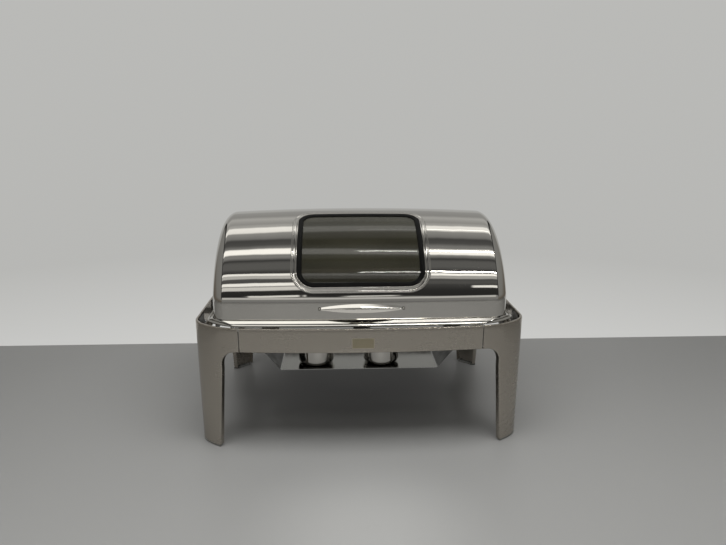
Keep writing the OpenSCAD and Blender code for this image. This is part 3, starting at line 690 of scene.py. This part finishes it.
def lid_ridge():
    """Sections of the raised ridge round the lid's edge, which slopes down towards the rolled edge."""
    roll_line = [DECK.at(s, ROLL_W)[0] for s in DECK.stations(0, DECK.length, 1.0, 2.0)]
    loops = []
    straight = -lid_plan(LID.round_length)[0][1] + DECK_END_Y
    right = LID.stations(0, LID.round_length, 5.0)
    right += [LID.round_length + straight * k / 4 for k in range(1, 5)]
    for s in [-v for v in reversed(right)] + right[1:]:
        p, n = lid_plan(abs(s))
        room = min((q - p).length for q in roll_line)
        end_at = min(RAMP_END, room - 0.5)
        loop = [(1.5, DECK_LOW), (1.5, BEAD_TOP - 1.2), (2.0, BEAD_TOP - 0.4), (2.7, BEAD_TOP - 0.05)]
        for k in range(6):
            out = RAMP_START + (end_at - RAMP_START) * k / 5
            loop.append((out, max(BEAD_TOP - (out - RAMP_START) * RAMP_SLOPE, DECK_TOP + 0.1)))
        loop += [(end_at + 0.2, DECK_TOP + 0.05), (end_at + 0.2, DECK_LOW)]
        placed = [p + n * out for out, _ in loop]
        loops.append([(q[0] if s > 0 else -q[0], q[1], z) for q, (_, z) in zip(placed, loop)])
    return loops


# ---- lid
def skirt_of(reach):
    """For an arch of this radius: the skirt's distance, its blend's height, the arch's first angle."""
    skirt = sqrt(reach**2 - SKIRT_RISE**2)
    run = skirt - SKIRT_BLEND
    rise = sqrt((reach - SKIRT_BLEND) ** 2 - run**2)
    return skirt, ARCH_Z + rise, atan2(rise, run)


def lid_point(s, w):
    """The lid's outer face at s along it and w round it: 0 the front edge, 1 the top, 2 the rear edge."""
    p, _ = LID.at(s)
    reach = -p[1]
    skirt, blend_z, start = skirt_of(reach)
    side = -1.0
    if w > 1:
        side, w = 1.0, 2 - w
    if w < SKIRT_SHARE:
        y, z = skirt, LID_LOW + (blend_z - LID_LOW) * w / SKIRT_SHARE
    elif w < BLEND_SHARE:
        a = start * (w - SKIRT_SHARE) / (BLEND_SHARE - SKIRT_SHARE)
        y = skirt - SKIRT_BLEND + SKIRT_BLEND * cos(a)
        z = blend_z + SKIRT_BLEND * sin(a)
    else:
        a = start + (w - BLEND_SHARE) / (1 - BLEND_SHARE) * (pi / 2 - start)
        y, z = reach * cos(a), ARCH_Z + reach * sin(a)
    return Vector((p[0], side * y, z))


def lid_normal(s, w):
    """The outward normal there, from points close by."""
    step_s, step_w = 0.02, 0.0002
    low_w, high_w = max(0.0, w - step_w), min(2.0, w + step_w)
    along = lid_point(s + step_s, w) - lid_point(s - step_s, w)
    up = lid_point(s, high_w) - lid_point(s, low_w)
    return along.cross(up).normalized()


def lid_at(s, w, height):
    """The point at this height above the lid's outer face."""
    return lid_point(s, w) + lid_normal(s, w) * height


def arch_place(x, angle):
    """(s, w) of the point on the arch at this X and angle above the horizontal."""
    s = copysign(LID_BOW * asin(min(1.0, abs(x) / LID_BOW)), x)
    start = skirt_of(-LID.at(s)[0][1])[2]
    return s, BLEND_SHARE + (1 - BLEND_SHARE) * (angle - start) / (pi / 2 - start)


def window_outline(grow, counts):
    """The window's outline, grown by a width, as (s, w) places.

    It runs anticlockwise from the middle of its lower left corner. counts are the points along each side,
    and each side takes half of the corner arcs at its two ends.
    """
    half_x = WINDOW_HALF + grow
    half_v = WINDOW_RISE + grow
    radius = WINDOW_R + grow
    places = []
    for side in range(4):
        half_run = (half_x if side % 2 == 0 else half_v) - radius
        half_off = half_v if side % 2 == 0 else half_x
        total = 2 * (half_run + radius * pi / 4)
        for k in range(counts[side]):
            t = total * k / counts[side] - total / 2
            over = abs(t) - half_run
            if over <= 0:
                along, off = t, half_off
            else:
                a = over / radius
                along = copysign(half_run + radius * sin(a), t)
                off = half_off - radius * (1 - cos(a))
            x, v = [(along, -off), (off, along), (-along, off), (-off, -along)][side]
            places.append(arch_place(x, WINDOW_MID + v / ARCH_R))
    return places


def lid_rows():
    """w of the grid's rows up to the top, and the two rows that bound the window's patch."""
    low, high = arch_place(0, PATCH_LOW)[1], arch_place(0, PATCH_HIGH)[1]
    rows = [SKIRT_SHARE * k / 6 for k in range(6)]
    rows += [SKIRT_SHARE + (BLEND_SHARE - SKIRT_SHARE) * k / 8 for k in range(9)]
    first = len(rows)
    rows += [low + (high - low) * k / 30 for k in range(31)]
    last = len(rows) - 1
    rows += [high + (1 - high) * k / 4 for k in range(1, 5)]
    return rows, first, last


def lid_columns():
    """s of the grid's columns, and the two columns that bound the window's patch."""
    patch = [PATCH_X * (k / 20 - 1) for k in range(41)]
    beyond = LID.stations(PATCH_X, LID.round_length, 4.0, 9.0)
    left = [-s for s in reversed(beyond)]
    first = len(left) - 1
    columns = left + patch[1:-1] + beyond
    return columns, first, first + 40


def lid_grid(build, places, height, inward, wrap=False):
    """A grid over rows of (s, w) places, at a height above the lid and facing out or in."""
    turn = -1 if inward else 1
    points = [[lid_at(s, w, height) for s, w in row[::turn]] for row in places]
    normals = [[lid_normal(s, w) * turn for s, w in row[::turn]] for row in places]
    build.grid(points, normals, wrap)


def lid_skin(build, height, inward):
    """The lid's outer or inner face. Returns the places of its rows and columns and the window's hole."""
    half_rows, row_a, row_b = lid_rows()
    rows = half_rows + [2 - w for w in reversed(half_rows[:-1])]
    columns, col_a, col_b = lid_columns()
    middle = rows[row_a : row_b + 1]
    blocks = [(columns, rows[: row_a + 1]), (columns, rows[row_b:]),
              (columns[: col_a + 1], middle), (columns[col_b:], middle)]
    for ss, ws in blocks:
        lid_grid(build, [[(s, w) for s in ss] for w in ws], height, inward)
    # rings from the patch's border to the window's hole
    wide, tall = col_b - col_a, row_b - row_a
    border = [(columns[col_a + k], rows[row_a]) for k in range(wide)]
    border += [(columns[col_b], rows[row_a + k]) for k in range(tall)]
    border += [(columns[col_b - k], rows[row_b]) for k in range(wide)]
    border += [(columns[col_a], rows[row_b - k]) for k in range(tall)]
    hole = window_outline(1.0, (wide, tall, wide, tall))
    rings = []
    for t in (0.0, 0.15, 0.3, 0.45, 0.6, 0.75, 0.88, 1.0):
        rings.append([(a[0] + (b[0] - a[0]) * t, a[1] + (b[1] - a[1]) * t) for a, b in zip(border, hole)])
    lid_grid(build, rings, height, inward, True)
    return rows, columns, hole


def lid_end_outline(rows, x):
    """The flat end's outline: over the section to the rear, and back along the bottom round the notch."""
    over = [lid_point(LID.round_length, w) for w in rows]
    notch = [(NOTCH_R, LID_LOW)] + arc(0, PIVOT_Z, NOTCH_R, 0, 180, 12) + [(-NOTCH_R, LID_LOW)]
    return [Vector((x, p[1], p[2])) for p in over] + [Vector((x, y, z)) for y, z in notch]


def strip(build, a, b):
    """A narrow band between two lines of points, with flat shading across each pair."""
    for k in range(len(a) - 1):
        normal = (a[k + 1] - a[k]).cross(b[k] - a[k])
        if normal.length > 1e-9:
            build.face([a[k], a[k + 1], b[k + 1], b[k]], normal.normalized())


def lid_shell():
    """The lid's sheet: outer and inner skin, two flat ends, the front and rear edge and the window's edge."""
    build = Build()
    rows, columns, hole = lid_skin(build, 0.0, False)
    lid_skin(build, -LID_SHEET, True)
    for sx in (-1, 1):
        outer = lid_end_outline(rows, sx * LID_HALF)
        inner = lid_end_outline(rows, sx * (LID_HALF - LID_SHEET))
        build.face(outer[::-1] if sx > 0 else outer, Vector((sx, 0, 0)))
        build.face(inner if sx > 0 else inner[::-1], Vector((-sx, 0, 0)))
        bottom = len(rows) - 1
        a, b = outer[bottom:] + outer[:1], inner[bottom:] + inner[:1]
        strip(build, *((a, b) if sx > 0 else (b, a)))
    front, rear = [(s, 0.0) for s in columns], [(s, 2.0) for s in columns]
    for line in (front, rear[::-1], hole + hole[:1]):
        strip(build, *([lid_at(s, w, height) for s, w in line] for height in (-LID_SHEET, 0.0)))
    build.make("lid_dome", "lid", "polished_steel", ["lid_shell"])


def window_sweep(profile, counts=(60, 48, 60, 48)):
    """A ring round the window: profile is a closed loop of (distance out from the outline, height)."""
    around = {out: window_outline(out, counts) for out in sorted({out for out, _ in profile})}
    loops = []
    for k in range(sum(counts)):
        loops.append([lid_at(*around[out][k], height) for out, height in profile])
    return Build().loft(loops, ring=True)


def window():
    """The window's bezel, its gasket and its pane."""
    window_sweep(BEZEL).make("window_bezel_ring", "lid", "polished_steel", ["window_bezel"])
    window_sweep(GASKET).make("window_gasket_ring", "lid", "black_rubber", ["window_gasket"])
    glass()


def glass():
    """The curved pane, with its rounded corners and polished edge."""
    half_x = WINDOW_HALF - GLASS_INSET
    half_v = WINDOW_RISE - GLASS_INSET
    radius = WINDOW_R - GLASS_INSET
    rows = []
    for turn in turns(0, 180, 40):
        v = half_v * -cos(turn)
        over = max(0.0, abs(v) - (half_v - radius))
        reach = half_x - radius + sqrt(max(0.0, radius**2 - over**2))
        rows.append([arch_place(reach * (k / 20 - 1), WINDOW_MID + v / ARCH_R) for k in range(41)])
    build = Build()
    lid_grid(build, rows, GLASS_OUT, False)
    lid_grid(build, rows, GLASS_IN, True)
    border = rows[0] + [r[-1] for r in rows[1:]] + rows[-1][-2::-1] + [r[0] for r in rows[-2:0:-1]]
    border.append(border[0])
    strip(build, *([lid_at(s, w, height) for s, w in border] for height in (GLASS_IN, GLASS_OUT)))
    build.make("window_pane", "lid", "tinted_glass", ["window_glass"])


def handle_section(x):
    """The handle's closed section: up the leaning front face, back along the roof, and down inside."""
    middle = 1 - (x / HANDLE_HALF) ** 2
    reach, rise, tall, thick = (tip + more * middle for tip, more in HANDLE_SIZES)
    back = lid_plan(abs(x))[0][1] - 0.3
    edge_y, edge_z = HANDLE_Y - reach, HANDLE_Z + rise
    foot_y, foot_z = edge_y - tall * sin(HANDLE_LEAN), edge_z - tall * cos(HANDLE_LEAN)
    section = [(foot_y + 0.6 * thick, foot_z - 0.15 * thick), (foot_y + 0.15 * thick, foot_z - 0.05 * thick)]
    for k in range(6):
        t = 0.04 + 0.82 * k / 5
        section.append((foot_y + (edge_y - foot_y) * t, foot_z + (edge_z - foot_z) * t))
    section.append((edge_y + 0.02 * tall, edge_z))
    for k in range(1, 6):
        run = (back - edge_y) * k / 5
        section.append((edge_y + run, edge_z + run * RAMP_SLOPE))
    section.append((back, section[-1][1] - thick))
    section.append((edge_y + 0.9 * thick, edge_z - 0.5 * thick))
    section.append((foot_y + 1.3 * thick, foot_z - 0.1 * thick))
    return [(x, y, z) for y, z in section]


def handle():
    """A crescent pull, hollow from below, and the rivets at its tips."""
    sections = [handle_section(HANDLE_HALF * sin(a)) for a in turns(-90, 90, 64)]
    Build().loft(sections).make("handle_crescent", "lid", "polished_steel", ["lid_handle"], 24)
    build = Build()
    for sx in (-1, 1):
        build.lathe(STUD_DOME, (sx * STUD_X, HANDLE_Y + 1.2, HANDLE_Z), 24, "y")
    build.make("handle_rivets", "lid", "polished_steel", ["handle_studs"])


# ---- pans
def tray(name, node, opening, rim):
    """A drawn pan: rim with a rounded edge, filleted wall and bottom, as one sheet given its thickness."""
    top = box_mm(node)[1][2]
    depth = top - box_mm(node)[0][2]
    wall, taper, bottom_r, lip_r = 1.0, 2.5, 14.0, 3.0
    length, width, radius = opening[0] - 2 * wall, opening[1] - 2 * wall, opening[2] - wall
    rings = []
    for inset, z in ((1.3, -0.75), (0.9, -0.25), (1.4, 0.0)):
        rings.append((rim[0] - 2 * inset, rim[1] - 2 * inset, rim[2] - inset, top + z))
    for a in turns(0, 90, 5):
        out = lip_r * (1 - sin(a))
        rings.append((length + 2 * out, width + 2 * out, radius + out, top - lip_r * (1 - cos(a))))
    bottom = top - depth + wall
    for a in turns(0, 90, 8):
        inward = taper + bottom_r * (1 - cos(a))
        z = bottom + bottom_r * (1 - sin(a))
        rings.append((length - 2 * inward, width - 2 * inward, max(4.0, radius - inward), z))
    # the middle of the bottom sags a little
    rings.append((length - 90, width - 90, 3.0, bottom - 0.3))
    build = Build()
    loops = [[(x, y, z) for x, y in rounded_rect(l, w, r, 10)] for l, w, r, z in rings]
    build.grid(loops, wrap=True)
    build.face(loops[-1])
    piece = build.make(name, node, "pan_steel", [node], 50)
    if piece.data.polygons[-1].normal.z < 0:
        piece.data.flip_normals()
    thick = piece.modifiers.new("sheet", "SOLIDIFY")
    thick.thickness = 0.9 * wall * MM
    thick.offset = -1.0


# ---- fuel shelf and cups
def shelf_path(shift):
    """The shelf's section with rounded bends, shifted out from its underside."""
    right = [(SHELF_HALF, SHELF_Z), (WING_X, WING_Z), (WING_X + WING_FLANGE, WING_Z)]
    corners = [Vector((-x, z)) for x, z in reversed(right)] + [Vector(c) for c in right]
    path = [corners[0] + Vector((0, shift))]
    for a, b, c in zip(corners, corners[1:], corners[2:]):
        into, out = (b - a).normalized(), (c - b).normalized()
        side_a, side_b = Vector((-into[1], into[0])), Vector((-out[1], out[0]))
        middle = (side_a + side_b).normalized()
        start, end = b - into * SHELF_BEND + side_a * shift, b + out * SHELF_BEND + side_b * shift
        tip = b + middle * shift / max(0.5, side_a.dot(middle))
        for k in range(6):
            t = k / 5
            path.append(start * (1 - t) ** 2 + tip * (2 * t * (1 - t)) + end * t**2)
    return path + [corners[-1] + Vector((0, shift))]


def shelf():
    """The folded shelf: a flat floor, two sloping wings and their flanges."""
    loop = shelf_path(0.0) + shelf_path(SHELF_T)[::-1]
    ys = [SHELF_FRONT, SHELF_FRONT + 0.3, SHELF_REAR - 0.3, SHELF_REAR]
    sections = [[(p[0], y, p[1]) for p in loop] for y in ys]
    Build().loft(sections).make("fuel_shelf_sheet", "stand", "shelf_steel", ["fuel_shelf"])


def cup_profile():
    """(radius, height) of a fuel cup: its foot, rounded base, wall, rolled lip and inside."""
    centre, inner = CUP_R - CUP_BASE_R, CUP_BASE_R - CUP_WALL
    profile = [(0.0, 0.9), (16, 0.9), (19, 0.6), (21, 0.1), (centre, 0.0)]
    profile += arc(centre, CUP_BASE_R, CUP_BASE_R, -75, 0, 5)
    profile += [(CUP_R, CUP_H - 8), (CUP_R + 0.1, CUP_H - 3.4), (CUP_R + 0.6, CUP_H - 2.6)]
    for a in turns(-90, 90, 8):
        profile.append((CUP_R + 0.8 + 1.2 * cos(a), CUP_H - 1.25 + 1.25 * sin(a)))
    profile += [(CUP_R - 0.6, CUP_H - 0.2), (CUP_R - CUP_WALL, CUP_H - 1.5)]
    profile += arc(centre, CUP_BASE_R, inner, 0, -90, 6)
    return profile + [(0.0, CUP_WALL + 0.9)]


def cup(side):
    """A fuel cup with its hinge lug, and its cover."""
    low, high = box_mm(f"fuel_cup_{side}")
    x, y, z = (low[0] + high[0]) / 2, low[1] + CUP_R + 2, low[2]
    hinge_y = y + CUP_R + HINGE_OUT
    lug = [(2.2, CUP_H - 9), (4.1, CUP_H - 9), (4.5, CUP_H - 8.6), (4.5, CUP_H - 0.4), (4.1, CUP_H),
           (2.2, CUP_H)]
    build = Build()
    build.lathe(cup_profile(), (x, y, z), 96)
    build.lathe(lug + lug[:1], (x, hinge_y, z), 32)
    build.make(f"cup_body_{side}", f"cup_{side}", "polished_steel", [f"fuel_cup_{side}"])
    cover(side, x, y, hinge_y)


def cover(side, x, y, hinge_y):
    """A cup's cover, with a neck that turns about the hinge pin, and its knob."""
    low, high = box_mm(f"fuel_cover_{side}")
    z, thick = low[2], high[2] - low[2]
    disc = [(0.0, 0.0), (30, 0.0), (CUP_R, 0.0), (CUP_R + 0.8, 0.3), (CUP_R + 1, 0.6),
            (CUP_R + 0.8, thick - 0.2), (CUP_R, thick - 0.05), (33, thick), (31.5, thick - 0.3), (30, thick),
            (0.0, thick)]
    neck = [(x - NECK_R, y + 34), (x + NECK_R, y + 34)]
    neck += arc(x, hinge_y, NECK_R, 0, 180, 8)
    hole = arc(x, hinge_y, PIN_HOLE_R, 0, 345, 23)
    build = Build()
    build.lathe(disc, (x, y, z), 96)
    build.plate([neck, hole], z + 0.05, z + thick - 0.05)
    build.make(f"cover_disc_{side}", f"cover_{side}", "polished_steel", [f"fuel_cover_{side}"])
    low, high = box_mm(f"cover_knob_{side}")
    tall = high[2] - low[2]
    knob = [(0.0, 0.0), (2.0, 0.0), (2.0, thick + 0.02), (4.3, thick + 0.02), (4.6, thick + 0.5),
            (4.9, thick + 2.5), (5.9, tall - 2.2), (6.4, tall - 1.4), (6.2, tall - 0.6), (5.2, tall - 0.1),
            (3.0, tall - 0.3), (0.0, tall - 0.4)]
    turned = Build().lathe(knob, (x, (low[1] + high[1]) / 2, low[2]), 40)
    turned.make(f"knob_turned_{side}", f"cover_{side}", "black_knob", [f"cover_knob_{side}"])


# ---- CAD parts that stay
def kept_parts():
    """CAD parts whose shape is right: each gets its slot's material and slightly rounded edges."""
    slots = {row["node"]: row["material_slot"] for row in frame["record"]["subparts"]}
    for name, part in frame["nodes"].items():
        if part.hide_render:
            continue
        part.data.materials.clear()
        part.data.materials.append(MATERIALS[slots[name]])
        bevel = part.modifiers.new("soft edges", "BEVEL")
        bevel.width = 0.25 * MM
        bevel.segments = 2
        bevel.limit_method = "ANGLE"
        bevel.angle_limit = radians(40)


# ---- stage
# the table top's edges
TABLE_BACK, TABLE_FRONT, TABLE_REACH = 354.0, -915.0, 6000.0
# its tone from front to back, paler at the front as painted light, and what is added beyond its front
TABLE_TONES, TONE_FROM, TONE_TO, FRONT_TONE = (0.175, 0.135), -750.0, 250.0, 0.012
# a painted pool of light, the table's glare in front of the object: middle, inner and outer radius, and what
# it adds
POOL_Y, POOL_IN, POOL_OUT, POOL_TONE = -460.0, 20.0, 240.0, 0.05
# the painted shadow below the stand: middle, inner and outer radius, and the share of the tone it leaves
SHADE_Y, SHADE_IN, SHADE_OUT, SHADE_TONE = 120.0, 80.0, 300.0, 0.2


def floor():
    """A grey table top that ends behind the object, with painted light that makes it paler in front of it and
    a painted shadow that makes it darker below it.
    """
    mesh = bpy.data.meshes.new("floor")
    corners = [(-TABLE_REACH, -TABLE_REACH, 0), (TABLE_REACH, -TABLE_REACH, 0),
               (TABLE_REACH, TABLE_BACK, 0), (-TABLE_REACH, TABLE_BACK, 0)]
    mesh.from_pydata([Vector(p) * MM for p in corners], [], [(0, 1, 2, 3)])
    piece = add_object("floor", mesh)
    made, tree, shader, coords = material("floor", Specular_IOR_Level=0.3)
    along, across, _ = tree.add("ShaderNodeSeparateXYZ", {"Vector": coords}).outputs

    def distance(y, share):
        """Distance from (0, y), with the part along X made smaller by a share of its square."""
        off = tree.times(tree.times(along, along), share)
        near = tree.math("SUBTRACT", across, y * MM)
        return tree.math("SQRT", tree.plus(off, tree.times(near, near)))

    cloud = tree.times(tree.noise(coords, 0.8, 2.0), 0.03)
    # painted light: the tone grows paler towards the front
    tone = tree.plus(cloud, tree.step(across, TONE_FROM * MM, TONE_TO * MM, *TABLE_TONES))
    # painted light: a paler pool of the table's glare in front of the object
    painted_glare = tree.step(distance(POOL_Y, 1.0), POOL_IN * MM, POOL_OUT * MM, POOL_TONE, 0.0)
    # painted shadow: the floor's tone darkened below the stand
    painted_shadow = tree.step(distance(SHADE_Y, 0.7), SHADE_IN * MM, SHADE_OUT * MM, SHADE_TONE, 1.0)
    tone = tree.times(tree.plus(tone, painted_glare), painted_shadow)
    beyond = tree.step(across, (TABLE_FRONT - 60) * MM, (TABLE_FRONT + 30) * MM, FRONT_TONE, 0.0)
    tone = tree.plus(tone, beyond)
    colour = tree.add("ShaderNodeCombineColor", {0: tone, 1: tone, 2: tree.times(tone, 0.975)}).outputs[0]
    tree.feed(shader, "Base Color", colour)
    tree.feed(shader, "Roughness", tree.between(tree.noise(coords, 2.0, 1.0), 0.36, 0.38))
    mesh.materials.append(made)


# The studio round the object. Angles are in degrees about X: 0 the front horizon, 90 overhead, 180 the back.
STUDIO_TONES = [
    (-180, 0.50), (-150, 0.50), (-120, 0.27), (-17, 0.27), (5, 0.28), (22, 0.32), (24.5, 0.28), (26, 0.03),
    (34, 0.04), (44, 0.11), (48, 0.14), (55.5, 0.06), (60, 0.16), (67, 0.16), (70.5, 0.06), (74, 0.34),
    (87, 0.30), (91, 0.12), (98, 0.09), (101, 0.28), (108, 0.40), (123, 0.60), (128, 0.44), (139, 0.60),
    (146, 0.38), (160, 0.40), (170, 0.50), (180, 0.50),
]
# long soft lamps: angle at the left and right, half width, strength at the left and right
STUDIO_LAMPS = [
    (37.0, 37.0, 2.1, 0.9, 0.0),
    (41.6, 42.0, 1.7, 1.35, 0.03),
    (50.0, 48.5, 2.0, 0.6, 0.45),
    (53.0, 51.4, 1.2, 1.3, 1.5),
    (82.0, 79.4, 3.6, 1.35, 1.35),
    (115.5, 116.0, 4.8, 0.85, 0.85),
]
# thin bright tubes, seen on the right only: angle, half width, strength
STUDIO_TUBES = [(80.7, 0.35, 21.0), (54.6, 0.35, 21.0), (114.0, 0.5, 1.2)]
# short lamps: angle, half width, strength, and where along X they start and end
SHORT_LAMPS = [(37.5, 1.3, 1.3, 0.30, 0.46), (28.2, 1.0, 1.1, -0.26, -0.09), (27.6, 0.6, 0.9, -0.03, 0.14),
               (20.0, 6.0, 0.42, -0.42, 0.42)]
LAMP_COLOUR = (1.0, 0.985, 0.94)
# the walls past the object's ends and the back wall, from low to high, and where the end walls begin
WALL_TONES = [(0.0, (0.13, 0.11, 0.09)), (0.35, (0.17, 0.15, 0.125)), (0.5, (0.27, 0.265, 0.25)),
              (1.0, (0.32, 0.32, 0.31))]
BACK_TONES = [(0.0, (0.62, 0.62, 0.60)), (0.1, (0.57, 0.57, 0.555)), (0.24, (0.475, 0.475, 0.46)),
              (1.0, (0.50, 0.50, 0.485))]
WALL_AT = 0.5
# half the width of the change from left to right: of a lamp's strength, and of its angle
SWITCH, DRIFT = 0.12, 0.2


def lamp_light(tree, angle, along):
    """The light of all lamps, by the angle about X and the place along X."""
    total = 0.0
    for at_left, at_right, half, left_strength, right_strength in STUDIO_LAMPS:
        centre = tree.step(along, -DRIFT, DRIFT, at_left, at_right)
        strength = tree.step(along, -SWITCH, SWITCH, left_strength, right_strength)
        total = tree.plus(tree.times(tree.bump(angle, centre, half), strength), total)
    for centre, half, strength in STUDIO_TUBES:
        on_right = tree.step(along, 0.03, 0.04, 0.0, strength)
        total = tree.plus(tree.times(tree.bump(angle, centre, half), on_right), total)
    for centre, half, strength, start, end in SHORT_LAMPS:
        begun, ended = tree.step(along, start, start + 0.03), tree.step(along, end - 0.03, end, strength, 0.0)
        reach = tree.times(begun, ended)
        total = tree.plus(tree.times(tree.bump(angle, centre, half), reach), total)
    return tree.scaled(LAMP_COLOUR, total)


def studio():
    """Long soft lamps over the object, pale walls past its ends and behind it, and a dim room in front."""
    world = bpy.data.worlds.new("studio")
    bpy.context.scene.world = world
    world.use_nodes = True
    tree = Tree(world.node_tree)
    direction = tree.add("ShaderNodeTexCoord").outputs["Generated"]
    along, across, height = tree.add("ShaderNodeSeparateXYZ", {"Vector": direction}).outputs
    turned = tree.math("ARCTAN2", height, tree.times(across, -1.0))
    angle = tree.times(turned, 180 / pi)
    tones = [((degrees + 180) / 360, (tone, tone * 0.995, tone * 0.965)) for degrees, tone in STUDIO_TONES]
    room = tree.ramp(tree.between(angle, 0.0, 1.0, -180.0, 180.0), tones)
    lamps = lamp_light(tree, angle, along)
    strips = tree.add("ShaderNodeVectorMath", {0: room, 1: lamps}, operation="ADD").outputs[0]
    # past the lamps' ends: a dark gap high up, then the pale side walls
    side = tree.math("ABSOLUTE", along)
    wall = tree.ramp(tree.between(height, 0.0, 1.0, -0.5, 1.0), WALL_TONES)
    low_down = tree.step(height, 0.2, 0.3, 0.88, 0.0)
    gap = tree.plus(tree.step(side, WALL_AT + 0.03, WALL_AT + 0.1, 0.12, 1.0), low_down)
    lit_wall = tree.scaled(wall, tree.math("MINIMUM", gap, 1.0))
    ends = tree.blend(tree.step(side, WALL_AT - 0.03, WALL_AT), strips, lit_wall)
    # the back wall and the low part of the room stay pale all along
    back = tree.times(tree.step(across, 0.55, 0.72), tree.step(height, 0.25, 0.35, 1.0, 0.0))
    back = tree.math("MAXIMUM", back, tree.step(height, -0.2, -0.12, 1.0, 0.0))
    pale = tree.ramp(tree.between(height, 0.0, 1.0, -0.4, 0.4), BACK_TONES)
    tree.feed(world.node_tree.nodes["Background"], "Color", tree.blend(back, ends, pale))


def overhead_light():
    """A broad soft lamp that lights the floor and the rubber, and that polished steel does not show."""
    data = bpy.data.lights.new("overhead", "AREA")
    data.shape = "RECTANGLE"
    data.size, data.size_y = 2.2, 0.9
    data.energy = 62.0
    lamp = add_object("overhead", data)
    lamp.location = (0, -0.55, 1.9)
    lamp.visible_glossy = False


def camera():
    """A view from the front, a little to the left and from above: place, heading and lens."""
    place = Vector((-41.5, -1216.7, 611.1))
    pitch, yaw, roll = radians(14.41), radians(2.48), radians(0.10)
    data = bpy.data.cameras.new("camera")
    data.sensor_width = 36.0
    data.lens = 28.29
    data.clip_end = 60.0
    shot = add_object("camera", data)
    ahead = Vector((sin(yaw) * cos(pitch), cos(yaw) * cos(pitch), -sin(pitch)))
    turn = ahead.to_track_quat("-Z", "Y").to_matrix().to_4x4() @ Matrix.Rotation(roll, 4, "Z")
    shot.matrix_world = Matrix.Translation(place * MM) @ turn
    bpy.context.scene.camera = shot


camera()
studio()
overhead_light()
floor()
legs()
rails()
badge()
deck()
lid_shell()
window()
handle()
tray("water_tray", "water_pan", WATER_OPENING, WATER_RIM)
tray("food_tray", "food_pan", FOOD_OPENING, FOOD_RIM)
shelf()
cup("left")
cup("right")
kept_parts()
bpy.context.scene.view_settings.view_transform = "Standard"
